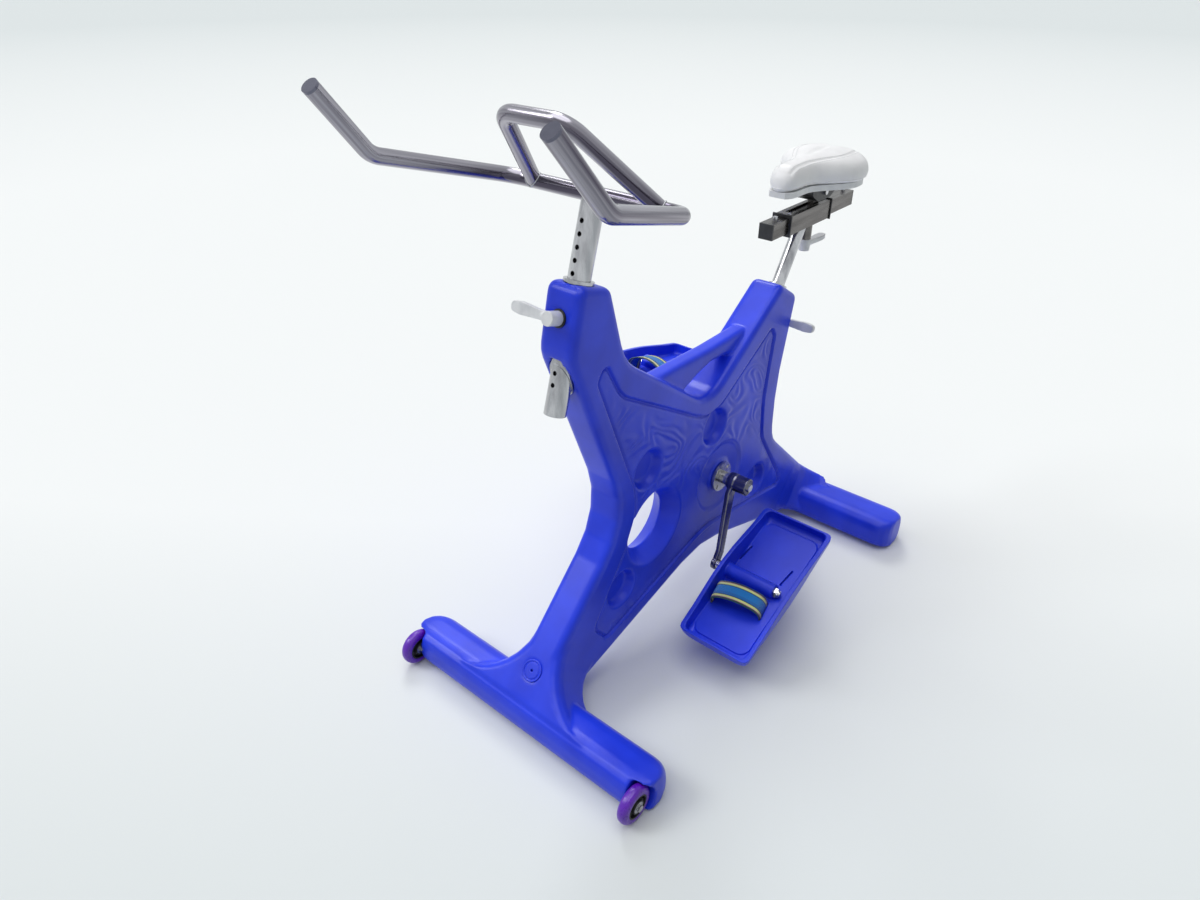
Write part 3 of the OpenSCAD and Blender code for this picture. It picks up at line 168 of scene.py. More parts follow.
def floor_finish():
    made, tree, shader = new_material(
        "studio_floor", Roughness=FLOOR_ROUGH, Specular_IOR_Level=FLOOR_SHINE,
        Emission_Color=PALE_MID)
    place = box_of(tree, "ShaderNodeTexCoord")
    near = box_of(tree, "ShaderNodeMapping", {
        "Location": (NEAR_SHIFT, 0, 0), "Rotation": (0, 0, math.radians(NEAR_TURN)),
        "Scale": (NEAR_SCALE,) * 3})
    far = box_of(tree, "ShaderNodeMapping", {
        "Location": (-LIGHT_POOL_MIDDLE[0] / LIGHT_POOL_RADIUS, -LIGHT_POOL_MIDDLE[1] / LIGHT_POOL_RADIUS, 0),
        "Scale": (1 / LIGHT_POOL_RADIUS,) * 3})
    # Painted light: these two fades darken the floor's colour towards the near edge and far off,
    # leaving a painted pool of light in the middle.
    painted_near_shade = box_of(tree, "ShaderNodeTexGradient", gradient_type="LINEAR")
    painted_light_falloff = box_of(tree, "ShaderNodeTexGradient", gradient_type="SPHERICAL")
    both = box_of(tree, "ShaderNodeMath", operation="MULTIPLY", use_clamp=True)
    ramp = box_of(tree, "ShaderNodeValToRGB")
    ramp.color_ramp.elements[0].color = PAINTED_EDGE_SHADE
    ramp.color_ramp.elements[1].color = PALE_MID
    ramp.color_ramp.elements[1].position = MID_FROM
    for shift, painted_fade in ((near, painted_near_shade), (far, painted_light_falloff)):
        join(tree, place, "Object", shift, "Vector")
        join(tree, shift, "Vector", painted_fade, "Vector")
    join(tree, painted_near_shade, "Fac", both, 0)
    join(tree, painted_light_falloff, "Fac", both, 1)
    join(tree, both, "Value", ramp, "Fac")
    join(tree, ramp, "Color", shader, "Base Color")
    glow = box_of(tree, "ShaderNodeMath", {1: GLOW}, operation="MULTIPLY")
    join(tree, *any_ray(tree, "Is Camera Ray", "Is Glossy Ray"), glow, 0)
    join(tree, glow, "Value", shader, "Emission Strength")
    return made


bpy.ops.mesh.primitive_plane_add(size=2 * FLOOR_HALF)
floor = bpy.context.object
floor.name = "floor"
floor.data.materials.append(floor_finish())
print("floor:", 2 * FLOOR_HALF, "m wide")

# %% [markdown]
# The light is plain and soft. Most of it comes from above, from a sun lamp with a very wide disc,
# which reaches the floor, the tops and the pedals. Two smaller discs stand on the bike's far side,
# one to its rear and one to its front, as two softboxes would: the tops and the sloping fronts of
# the body mirror them and go pale blue, while the near sides stay deep blue. The sky that lights
# the bike is dim, and brightest overhead, so that it fills the shadows and no more. The camera
# and mirrored rays see a plain pale sky instead, which carries the sweep on past the floor.

# %% Lights and sky
SOFTBOXES = [
    ("top_box", (-0.05, -0.15, 1.0), 1.55, 60), ("rear_box", (-0.50, 0.43, 0.755), 0.95, 22),
    ("front_box", (-0.55, -0.50, 0.64), 1.05, 24)]
SKY_TOP, SKY_RIM = (0.28, 0.285, 0.29, 1), (0.12, 0.125, 0.13, 1)
SKY_SEEN = (0.76, 0.79, 0.80, 1)

for name, stands_at, energy, disc in SOFTBOXES:
    lamp = bpy.data.objects.new(name, bpy.data.lights.new(name, "SUN"))
    lamp.data.energy = energy
    lamp.data.angle = math.radians(disc)
    lamp.rotation_mode = "QUATERNION"
    lamp.rotation_quaternion = (-Vector(stands_at)).to_track_quat("-Z", "Y")
    scene.collection.objects.link(lamp)

sky = bpy.data.worlds.new("pale_sky")
sky.use_nodes = True
scene.world = sky
tree = sky.node_tree
way = box_of(tree, "ShaderNodeTexCoord")
split = box_of(tree, "ShaderNodeSeparateXYZ")
rise = box_of(tree, "ShaderNodeMix", {MIX_A: SKY_RIM, MIX_B: SKY_TOP}, data_type="RGBA",
              clamp_factor=True)
join(tree, way, "Generated", split, "Vector")
join(tree, split, "Z", rise, 0)
choose = box_of(tree, "ShaderNodeMix", {MIX_B: SKY_SEEN}, data_type="RGBA")
looking = any_ray(tree, "Is Camera Ray", "Is Glossy Ray", "Is Transmission Ray")
join(tree, *looking, choose, 0)
join(tree, rise, MIX_OUT, choose, MIX_A)
join(tree, choose, MIX_OUT, tree.nodes["Background"], "Color")

# %% [markdown]
# Most finishes share one recipe. Two close colours are mixed by a broad noise, because no real
# surface has one even colour. A finer noise moves the roughness, and the finest one lifts the
# surface a little. A stretch turns the same noise into the brushing of metal, and on the bent
# tubes into dark and pale bands of painted reflection. Edges that rub can go paler, for which the
# shader reads how sharply the mesh bends.

# %% The common finish
BLOTCH_FROM, BLOTCH_TO = 0.35, 0.65
EDGE_RUBS = {"From Min": 0.53, "From Max": 0.66, "To Max": 0.55}
MIDDLE_PART, GRAIN_HIGH = 0.2, 0.0004


def finish(name, dark, light, rough, grain, bump, blotch=9, stretch=(1, 1, 1), worn=None,
           along=None, **shader_values):
    """Material with blotches of two colours, uneven roughness, a fine bump and pale worn edges.
    With along, the pattern follows that attribute of the piece instead of its place. Without
    bump, the surface is left for a pattern of its own."""
    made, tree, shader = new_material(name, **shader_values)
    shift = box_of(tree, "ShaderNodeMapping", {"Scale": stretch})
    if along:
        place = box_of(tree, "ShaderNodeAttribute", attribute_name=along)
        join(tree, place, "Vector", shift, "Vector")
    else:
        join(tree, box_of(tree, "ShaderNodeTexCoord"), "Object", shift, "Vector")

    broad = box_of(tree, "ShaderNodeTexNoise", {"Scale": blotch, "Detail": 3})
    colours = box_of(tree, "ShaderNodeValToRGB")
    ends = ((BLOTCH_FROM, dark), (BLOTCH_TO, light))
    for element, (position, colour) in zip(colours.color_ramp.elements, ends):
        element.position = position
        element.color = (*colour, 1)
    join(tree, shift, "Vector", broad, "Vector")
    join(tree, broad, "Fac", colours, "Fac")
    last, out = colours, "Color"
    if worn:
        sharp = box_of(tree, "ShaderNodeNewGeometry")
        edge = box_of(tree, "ShaderNodeMapRange", EDGE_RUBS)
        mixed = box_of(tree, "ShaderNodeMix", {MIX_B: (*worn, 1)}, data_type="RGBA")
        join(tree, sharp, "Pointiness", edge, "Value")
        join(tree, edge, "Result", mixed, 0)
        join(tree, colours, "Color", mixed, MIX_A)
        last, out = mixed, MIX_OUT
    join(tree, last, out, shader, "Base Color")

    middle = box_of(tree, "ShaderNodeTexNoise", {"Scale": grain * MIDDLE_PART, "Detail": 4})
    spread = box_of(tree, "ShaderNodeMapRange", {"To Min": rough[0], "To Max": rough[1]})
    join(tree, shift, "Vector", middle, "Vector")
    join(tree, middle, "Fac", spread, "Value")
    join(tree, spread, "Result", shader, "Roughness")

    if bump:
        fine = box_of(tree, "ShaderNodeTexNoise", {"Scale": grain, "Detail": 2})
        lift = box_of(tree, "ShaderNodeBump", {"Strength": bump, "Distance": GRAIN_HIGH})
        join(tree, shift, "Vector", fine, "Vector")
        join(tree, fine, "Fac", lift, "Height")
        join(tree, lift, "Normal", shader, "Normal")
    return made


# %% [markdown]
# The body and pedals are rotationally moulded plastic: a deep blue with a soft shine, a faint
# orange peel from the mould and paler edges where it rubs. Steel parts are stainless, with a
# darker skin on the seat's rail. The bent tubes get painted reflections: dark and pale bands round
# and along them, with some of the streaking of drawn steel. The cranks are cast alloy, and the
# small handles are pale moulded plastic over steel.

# %% Finishes of this bike
FINISHES = {
    "body_blue": finish(
        "moulded_blue", (0.008, 0.032, 0.62), (0.014, 0.048, 0.78), (0.28, 0.38), 620, 0.10,
        worn=(0.10, 0.17, 0.88), Specular_IOR_Level=0.36),
    "steel": finish(
        "stainless", (0.34, 0.34, 0.36), (0.58, 0.58, 0.60), (0.14, 0.32), 900, 0.12,
        blotch=60, stretch=(1, 1, 0.12), Metallic=1.0),
    # Painted reflections: the bent tubes' colour runs in dark and pale bands round and along each
    # tube, with some of the streaking of drawn steel.
    "drawn_steel": finish(
        "drawn_stainless", (0.085, 0.075, 0.105), (0.40, 0.385, 0.43), (0.10, 0.28), 26, 0.06,
        blotch=1.3, stretch=(1, 1, 1.6), along="drawn", Metallic=1.0),
    "rail_steel": finish(
        "rail_steel", (0.085, 0.078, 0.075), (0.17, 0.16, 0.155), (0.18, 0.36), 900, 0.14,
        blotch=50, stretch=(1, 0.1, 1), Metallic=1.0),
    "bright": finish(
        "bright_steel", (0.66, 0.67, 0.69), (0.82, 0.83, 0.85), (0.10, 0.24), 700, 0.08,
        blotch=90, Metallic=1.0),
    "alloy": finish(
        "cast_alloy", (0.12, 0.12, 0.16), (0.18, 0.18, 0.23), (0.16, 0.26), 800, 0.06,
        blotch=14, Metallic=1.0),
    "lever": finish(
        "pale_handle", (0.60, 0.61, 0.64), (0.74, 0.75, 0.77), (0.28, 0.42), 900, 0.18,
        blotch=40, worn=(0.9, 0.9, 0.9)),
    "pale_shell": finish(
        "pale_shell", (0.66, 0.67, 0.68), (0.76, 0.77, 0.78), (0.34, 0.5), 700, 0.18, blotch=30),
    "black": finish(
        "black_plastic", (0.010, 0.010, 0.012), (0.022, 0.022, 0.025), (0.34, 0.52), 900, 0.3,
        blotch=60),
    "rubber": finish(
        "rubber", (0.014, 0.014, 0.015), (0.030, 0.030, 0.032), (0.62, 0.82), 1100, 0.5, blotch=80),
    "wheel_purple": finish(
        "wheel_purple", (0.085, 0.004, 0.37), (0.12, 0.008, 0.47), (0.22, 0.36), 900, 0.2,
        blotch=30, worn=(0.26, 0.05, 0.70), Coat_Weight=0.1),
    "brass": finish(
        "brass", (0.52, 0.36, 0.12), (0.68, 0.50, 0.20), (0.22, 0.40), 800, 0.15, blotch=120,
        Metallic=1.0),
}
print("finishes:", sorted(FINISHES))

# %% [markdown]
# A CAD solid has knife-sharp edges and a skin of long loose triangles. To turn it into a moulded
# piece, its copy is merged, wrapped in an even net of small squares and relaxed, which rounds
# every edge by about the size of the mould's own radii. The copy is a new mesh, so the frame
# under it stays as packed.

# %% Pieces and softened copies
MOST_TRIANGLES = 190000


def shown(name, mesh, material):
    made = bpy.data.objects.new(name, mesh)
    scene.collection.objects.link(made)
    mesh.materials.clear()
    mesh.materials.append(material)
    return made


def dress(obj, body, slot, *stands_for):
    """Lets a finished piece ride on its body and stand for the CAD nodes it covers."""
    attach(obj, body)
    if stands_for:
        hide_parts(*stands_for)
    print(obj.name, "on", body, len(obj.data.polygons), "faces")
    return obj


def merged_copy(node):
    """A copy of a CAD node's mesh with its loose triangles sewn together."""
    mesh = frame["nodes"][node].data.copy()
    net = bmesh.new()
    net.from_mesh(mesh)
    bmesh.ops.remove_doubles(net, verts=net.verts, dist=0.00002)
    bmesh.ops.recalc_face_normals(net, faces=net.faces)
    net.to_mesh(mesh)
    net.free()
    return mesh


def shade_smooth(mesh):
    mesh.polygons.foreach_set("use_smooth", [True] * len(mesh.polygons))


def settle(obj):
    """Makes the result of an object's modifiers its own plain mesh."""
    bpy.context.view_layer.update()
    graph = bpy.context.evaluated_depsgraph_get()
    mesh = bpy.data.meshes.new_from_object(obj.evaluated_get(graph))
    obj.modifiers.clear()
    obj.data = mesh
    return obj


def netted(obj, cell, relax):
    """Wraps an object in an even net of the given cell, relaxed a number of times."""
    net = obj.modifiers.new("net", "REMESH")
    net.mode = "VOXEL"
    net.voxel_size = cell * MM
    net.use_smooth_shade = True
    ease = obj.modifiers.new("ease", "SMOOTH")
    ease.factor = 0.5
    ease.iterations = relax
    return settle(obj)


def softened(name, node, material, cell, relax, most=MOST_TRIANGLES):
    """A copy of a CAD node in a relaxed net, with no more triangles than allowed."""
    obj = netted(shown(name, merged_copy(node), material), cell, relax)
    thin(obj, most)
    return obj


def thin(obj, most):
    """Takes triangles out of flat places until few enough are left."""
    count = sum(len(f.vertices) - 2 for f in obj.data.polygons)
    if count > most:
        fewer = obj.modifiers.new("fewer", "DECIMATE")
        fewer.ratio = most / count
        settle(obj)
    shade_smooth(obj.data)


# %% [markdown]
# The one-piece body is the bike's face. Each side has a sunk panel with a groove round it and a
# flowing relief inside. The relaxed net has lost the groove's crisp edge, so the depth of every
# point on the side faces is set again from its distance to the panel's outline. The relief is a
# generic one: the level lines of two crossed waves, like ripples on water.

# %% Round corners
def corner_arc(before, corner, after, radius, steps=6):
    """Points of the arc that rounds a corner, in any number of dimensions."""
    u = (before - corner) / np.linalg.norm(before - corner)
    w = (after - corner) / np.linalg.norm(after - corner)
    half = math.acos(max(-1, min(1, float(u @ w)))) / 2
    middle = corner + (u + w) / np.linalg.norm(u + w) * radius / math.sin(half)
    start = corner + u * radius / math.tan(half)
    end = corner + w * radius / math.tan(half)
    turned = []
    for k in range(steps + 1):
        spoke = (start - middle) * (1 - k / steps) + (end - middle) * k / steps
        turned.append(middle + spoke / np.linalg.norm(spoke) * radius)
    return turned


def round_outline(corners):
    """A closed outline through corners given as across, up, radius."""
    flat = np.array(corners, float)
    count = len(flat)
    return np.array([
        p for k in range(count)
        for p in corner_arc(flat[k - 1, :2], flat[k, :2], flat[(k + 1) % count, :2], flat[k, 2])])


def round_path(points, radii):
    """An open path with its inner corners rounded."""
    flat = np.array(points, float)
    run = [flat[0]]
    for k, radius in enumerate(radii, start=1):
        run += corner_arc(flat[k - 1], flat[k], flat[k + 1], radius)
    return np.array(run + [flat[-1]])


PANEL = round_outline([
    (180, 150, 25), (222, 96, 20), (562, 186, 230), (905, 128, 15), (890, 170, 15), (782, 325, 80),
    (770, 425, 250), (786, 578, 15), (768, 606, 15), (552, 470, 90), (262, 642, 80), (214, 728, 15),
    (190, 690, 15), (322, 368, 150)])
print("panel outline:", len(PANEL), "points")


# %% Depth of the side panels
WEB_HALF, PANEL_DEEP, GROOVE_WIDE, GROOVE_DEEP = 38, 3.0, 8, 4.0
GROOVE_WALL, LIP_FROM, LIP_TO = 3.5, GROOVE_WIDE - 3, GROOVE_WIDE + 1
RIPPLE_DEEP, RIPPLE_LINES = 0.8, 6.5
RIPPLE_IN, RIPPLE_UP = (GROOVE_WIDE + 4, GROOVE_WIDE + 22), (300, 420)
ROUNDS = [
    (375, 295, 90), (346, 446, 45), (573, 440, 45), (270, 199, 45), (770, 207, 45), (608, 301, 86)]
ROUND_RIM = (1, 7)
SKIN_UNDER, SKIN_OVER, OUTLINE_REACH = 3, 1, 4


def inside_by(points, outline):
    """Distance in mm of each point to the outline, positive inside it."""
    near = np.full(len(points), 1e9)
    inner = np.zeros(len(points), bool)
    for a, b in zip(outline, np.roll(outline, -1, axis=0)):
        along = b - a
        share = np.clip(((points - a) @ along) / (along @ along), 0, 1)
        near = np.minimum(near, np.linalg.norm(points - a - share[:, None] * along, axis=1))
        crosses = (a[1] > points[:, 1]) != (b[1] > points[:, 1])
        rise = b[1] - a[1] if b[1] != a[1] else 1e-9
        inner ^= crosses & (points[:, 0] < (points[:, 1] - a[1]) / rise * along[0] + a[0])
    return np.where(inner, near, -near)


def smooth_step(value, low, high):
    """Rises smoothly from 0 at low to 1 at high."""
    share = np.clip((value - low) / (high - low), 0, 1)
    return share * share * (3 - 2 * share)


def ripples(points):
    """Flowing relief in mm: level lines of two crossed and bent waves."""
    back, up = points[:, 0], points[:, 1]
    bent = back + 18 * np.sin(up / 27) + 8 * np.sin(back / 15 + 1.7)
    lifted = up + 19 * np.sin(back / 31 + 0.6) + 7 * np.sin(up / 12)
    level = np.sin(bent / 27) + np.sin(lifted / 23) + 0.5 * np.sin((bent + lifted) / 17)
    return RIPPLE_DEEP * np.cos(level * RIPPLE_LINES)


# %% [markdown]
# The cutting is done on plain arrays, which is quick for a net this fine. Points on a side face
# are those that lie inside the outline and no deeper than the groove. Near the round hollows the
# cutting fades out, so that these keep the shape they have.

# %% The moulded body
BODY_CELL = 2.9
BODY_RELAX, BODY_TRIANGLES = 7, 900000


def carve_panels(obj):
    """Sets the depth of the side faces: the groove, the panel and its relief."""
    count = len(obj.data.vertices)
    flat = np.zeros(count * 3)
    obj.data.vertices.foreach_get("co", flat)
    spots = flat.reshape(-1, 3)
    side = np.abs(spots[:, 0]) / MM
    rows = np.nonzero(side > WEB_HALF - PANEL_DEEP - GROOVE_DEEP - SKIN_UNDER)[0]
    plan = np.column_stack([spots[rows, 1] / MM + CENTRE_BACK, spots[rows, 2] / MM])
    depth_in = inside_by(plan, PANEL)
    clear = np.ones(len(rows))
    for back, up, radius in ROUNDS:
        away = np.linalg.norm(plan - (back, up), axis=1) - radius
        clear *= smooth_step(away, *ROUND_RIM)
    sunk = (PANEL_DEEP + GROOVE_DEEP) * smooth_step(depth_in, 0, GROOVE_WALL)
    sunk -= GROOVE_DEEP * smooth_step(depth_in, LIP_FROM, LIP_TO)
    sunk -= ripples(plan) * smooth_step(depth_in, *RIPPLE_IN) * smooth_step(plan[:, 1], *RIPPLE_UP)
    use = (depth_in > -OUTLINE_REACH) & (side[rows] < WEB_HALF + SKIN_OVER)
    share = clear * use
    side[rows] = side[rows] * (1 - share) + (WEB_HALF - sunk) * share
    spots[:, 0] = np.sign(spots[:, 0]) * side * MM
    obj.data.vertices.foreach_set("co", spots.ravel())
    obj.data.update()


body = softened("moulded_body", "hull", FINISHES["body_blue"], BODY_CELL, BODY_RELAX,
                most=BODY_TRIANGLES)
carve_panels(body)
thin(body, MOST_TRIANGLES)
dress(body, "base", "body_blue", "hull")

# %% [markdown]
# Each pedal is a boat-shaped tray of the same plastic, with flared rims, a padded-looking
# footbed in a moat and a tube across it for the axle. The same softening suits it, with a finer
# net, so that the thin rims keep their wall. The nut at the tube's end passes close to the tray
# as it turns, so the face behind it is drawn back a little.

# %% Pedal trays
TRAY_CELL = 1.25
TRAY_RELAX, TRAY_TRIANGLES = 1, 180000
NUT_REACH, NUT_FACE, NUT_LENGTH, NUT_ROOM, NUT_SKIN = 12, 247.2, 11, 0.6, 1.5


def draw_back_from_nut(obj, side):
    """Makes room in the tray for the pedal nut, behind it and all round it."""
    joints = frame["record"]["behaviour"]["joints"]
    axle = next(joint for joint in joints if joint["name"] == side + "_pedal_spin")["pos_m"]
    for vertex in obj.data.vertices:
        x, y, z = vertex.co
        away = math.hypot(y - axle[1], z - axle[2])
        out = abs(x) / MM - NUT_FACE
        if away < NUT_REACH * MM and abs(out) < NUT_SKIN:
            vertex.co.x = math.copysign(min(abs(x), (NUT_FACE - NUT_ROOM) * MM), x)
        elif away < NUT_REACH * MM and 0 < out < NUT_LENGTH:
            grow = NUT_REACH * MM / away
            vertex.co.y = axle[1] + (y - axle[1]) * grow
            vertex.co.z = axle[2] + (z - axle[2]) * grow


for side in ("left", "right"):
    tray = softened(side + "_tray_moulded", side + "_pedal_tray", FINISHES["body_blue"],
                    TRAY_CELL, TRAY_RELAX, most=TRAY_TRIANGLES)
    draw_back_from_nut(tray, side)
    dress(tray, side + "_pedal", "body_blue", side + "_pedal_tray")

# %% [markdown]
# Cast and moulded small parts get the same treatment at the scale of their own edges: the crank
# arms, the three clamp handles and the screwed drain plug.

# %% Cranks, handles and drain plug
SMALL_PARTS = [
    ("left_crank", "cranks", "alloy", 1.5, 3),
    ("right_crank", "cranks", "alloy", 1.5, 3),
    ("head_lever", "head_lever", "lever", 0.9, 4),
    ("column_lever", "column_lever", "lever", 0.9, 4),
    ("slider_lever", "slider_lever", "lever", 0.9, 4),
    ("drain_plug", "base", "body_blue", 0.8, 3)]
SMALL_TRIANGLES = 60000
COARSER = 1

for node, rides_on, slot_name, cell, relax in SMALL_PARTS:
    part = softened(node + "_cast", node, FINISHES[slot_name], cell * COARSER, relax,
                    most=SMALL_TRIANGLES)
    dress(part, rides_on, slot_name, node)

# %% [markdown]
# The handlebar and its loop are bent from round tube. That is a rule, not a shape to sculpt: a
# path with rounded corners and a circle drawn along it. A Geometry Nodes tree does exactly
# this. Its inputs are the tube's radius and the bend's radius, so the same tree makes both. It
# also writes down where each point lies round and along the tube, which places the painted
# reflections that band the steel's colour.

# %% A tree that bends a tube
BEND_STEPS = 14


def new_tree(name, **inputs):
    """A Geometry Nodes tree with a geometry in and out and the given extra inputs."""
    tree = bpy.data.node_groups.new(name, "GeometryNodeTree")
    tree.interface.new_socket("Geometry", in_out="INPUT", socket_type="NodeSocketGeometry")
    for label, (kind, value) in inputs.items():
        entry = tree.interface.new_socket(label, in_out="INPUT",
                                          socket_type="NodeSocket" + kind)
        if value is not None:
            entry.default_value = value
    tree.interface.new_socket("Geometry", in_out="OUTPUT", socket_type="NodeSocketGeometry")
    return tree, tree.nodes.new("NodeGroupInput"), tree.nodes.new("NodeGroupOutput")


def in_line(tree, *boxes):
    """Passes the geometry from each box on to the next."""
    for source, target in zip(boxes, boxes[1:]):
        join(tree, source, "Geometry", target, "Geometry")


def tube_tree():
    tree, given, result = new_tree(
        "bent_tube", Radius=("Float", 0.0125), Bend=("Float", 0.04), Sides=("Int", 48),
        Finish=("Material", None))
    path = box_of(tree, "GeometryNodeMeshToCurve")
    spot = box_of(tree, "GeometryNodeSplineParameter")
    keep_length = box_of(tree, "GeometryNodeCaptureAttribute")
    keep_length.capture_items.new("FLOAT", "Length")
    keep_round = box_of(tree, "GeometryNodeCaptureAttribute")
    keep_round.capture_items.new("FLOAT", "Around")
    turn = box_of(tree, "ShaderNodeMath", {1: 2 * math.pi}, operation="MULTIPLY")
    cosine, sine = (box_of(tree, "ShaderNodeMath", operation=kind) for kind in ("COSINE", "SINE"))
    packed = box_of(tree, "ShaderNodeCombineXYZ")
    # The place round and along the tube, which the steel's painted reflections follow.
    drawn = box_of(tree, "GeometryNodeStoreNamedAttribute", {"Name": "drawn"},
                   data_type="FLOAT_VECTOR")
    bend = box_of(tree, "GeometryNodeFilletCurve", {"Count": BEND_STEPS}, mode="POLY")
    ring = box_of(tree, "GeometryNodeCurvePrimitiveCircle")
    tube = box_of(tree, "GeometryNodeCurveToMesh", {"Fill Caps": True})
    smooth = box_of(tree, "GeometryNodeSetShadeSmooth")
    real = box_of(tree, "GeometryNodeRealizeInstances")
    coat = box_of(tree, "GeometryNodeSetMaterial")
    join(tree, given, "Geometry", path, "Mesh")
    join(tree, path, "Curve", bend, "Curve")
    join(tree, given, "Bend", bend, "Radius")
    join(tree, bend, "Curve", keep_length, "Geometry")
    join(tree, spot, "Length", keep_length, "Length")
    join(tree, keep_length, "Geometry", tube, "Curve")
    join(tree, given, "Radius", ring, "Radius")
    join(tree, given, "Sides", ring, "Resolution")
    join(tree, ring, "Curve", keep_round, "Geometry")
    join(tree, spot, "Factor", keep_round, "Around")
    join(tree, keep_round, "Geometry", tube, "Profile Curve")
    join(tree, keep_round, "Around", turn, 0)
    join(tree, turn, "Value", cosine, 0)
    join(tree, turn, "Value", sine, 0)
    join(tree, cosine, "Value", packed, "X")
    join(tree, sine, "Value", packed, "Y")
    join(tree, keep_length, "Length", packed, "Z")
    join(tree, tube, "Mesh", drawn, "Geometry")
    join(tree, packed, "Vector", drawn, "Value")
    join(tree, given, "Finish", coat, "Material")
    in_line(tree, drawn, smooth, real, coat, result)
    return tree


def path_mesh(name, points, closed=False):
    """A mesh that is only a chain of edges through the points."""
    mesh = bpy.data.meshes.new(name)
    edges = [(k, k + 1) for k in range(len(points) - 1)]
    if closed:
        edges.append((len(points) - 1, 0))
    mesh.from_pydata([tuple(p) for p in points], edges, [])
    return mesh


def grown(name, points, tree, material, closed=False, **values):
    """Runs a tree on a path and keeps the plain mesh that it makes."""
    obj = shown(name, path_mesh(name, points, closed), material)
    grow = obj.modifiers.new("grow", "NODES")
    grow.node_group = tree
    values["Finish"] = material
    for entry in tree.interface.items_tree:
        if entry.item_type == "SOCKET" and entry.in_out == "INPUT" and entry.name in values:
            grow[entry.identifier] = values[entry.name]
    return settle(obj)


TUBE = tube_tree()
print("tube tree inputs:", [e.name for e in TUBE.interface.items_tree])

# %% [markdown]
# The bar's corners come from the drawing: from each grip's end down to the bend, in to the root,
# and straight across. The loop stands on the cross bar between the grips.

# %% Handlebar and loop
TUBE_R, CAP, SIDES = 12.5, 4, 56
BAR_BEND, LOOP_BEND = 42, 36
BAR_BACK, BAR_UP = 227.83, 984.55
ROOT_X, BASE_X, TOP_X = 173, 126, 60
LOOP_OUT, LOOP_RISE = 125, 127
BEND = np.array((222, -5, 1048), float)
TIP = np.array((214, -90, 1151), float)
tip_way = (TIP - BEND) / np.linalg.norm(TIP - BEND)
bar_end = TIP - CAP * tip_way
mirrored = np.array((-1, 1, 1))
bar_corners = [
    bar_end * mirrored, BEND * mirrored, (-ROOT_X, BAR_BACK, BAR_UP),
    (ROOT_X, BAR_BACK, BAR_UP), BEND, bar_end]
loop_top = np.array((TOP_X, BAR_BACK - LOOP_OUT, BAR_UP + LOOP_RISE), float)
loop_corners = [
    (-BASE_X, BAR_BACK, BAR_UP), loop_top * mirrored, loop_top, (BASE_X, BAR_BACK, BAR_UP)]

bar = grown("bent_bar", [at(*p) for p in bar_corners], TUBE, FINISHES["drawn_steel"],
            Radius=TUBE_R * MM, Bend=BAR_BEND * MM, Sides=SIDES)
dress(bar, "handlebar", "steel", "handlebar")
loop = grown("bent_loop", [at(*p) for p in loop_corners], TUBE, FINISHES["drawn_steel"],
             Radius=TUBE_R * MM, Bend=LOOP_BEND * MM, Sides=SIDES)
dress(loop, "handlebar", "steel", "handlebar_loop")

# %% [markdown]
# Where two tubes meet, a welder leaves a row of small overlapping scales. A second tree sets one
# shape after another along a path: round grains make a weld or a row of stitches, and blocks
# make ribs. Its inputs are the spacing and the size of one shape.

# %% A tree that sets a row of shapes
def row_tree():
    tree, given, result = new_tree(
        "row_on_a_path", Spacing=("Float", 0.002), Size=("Vector", (0.002, 0.002, 0.002)),
        Square=("Bool", False), Finish=("Material", None))
    path = box_of(tree, "GeometryNodeMeshToCurve")
    spaced = box_of(tree, "GeometryNodeResampleCurve", mode="LENGTH")
    grain = box_of(tree, "GeometryNodeMeshUVSphere", {"Segments": 8, "Rings": 5, "Radius": 0.5})
    block = box_of(tree, "GeometryNodeMeshCube")
    pick = box_of(tree, "GeometryNodeSwitch", input_type="GEOMETRY")
    tangent = box_of(tree, "GeometryNodeInputTangent")
    turned = box_of(tree, "FunctionNodeAlignEulerToVector", axis="X")
    row = box_of(tree, "GeometryNodeInstanceOnPoints")
    real = box_of(tree, "GeometryNodeRealizeInstances")
    smooth = box_of(tree, "GeometryNodeSetShadeSmooth")
    coat = box_of(tree, "GeometryNodeSetMaterial")
    join(tree, given, "Geometry", path, "Mesh")
    join(tree, path, "Curve", spaced, "Curve")
    join(tree, given, "Spacing", spaced, "Length")
    join(tree, spaced, "Curve", row, "Points")
    join(tree, given, "Square", pick, "Switch")
    join(tree, grain, "Mesh", pick, "False")
    join(tree, block, "Mesh", pick, "True")
    join(tree, pick, "Output", row, "Instance")
    join(tree, tangent, "Tangent", turned, "Vector")
    join(tree, turned, "Rotation", row, "Rotation")
    join(tree, given, "Size", row, "Scale")
    join(tree, row, "Instances", real, "Geometry")
    join(tree, given, "Finish", coat, "Material")
    in_line(tree, real, smooth, coat, result)
    return tree


ROW = row_tree()
print("row tree inputs:", [e.name for e in ROW.interface.items_tree])

# %% [markdown]
# The weld of a loop leg follows the curve in which the leg meets the cross bar. For each
# direction round the leg, the curve's point lies where a line along the leg reaches the bar's
# round surface, which is one quadratic equation.

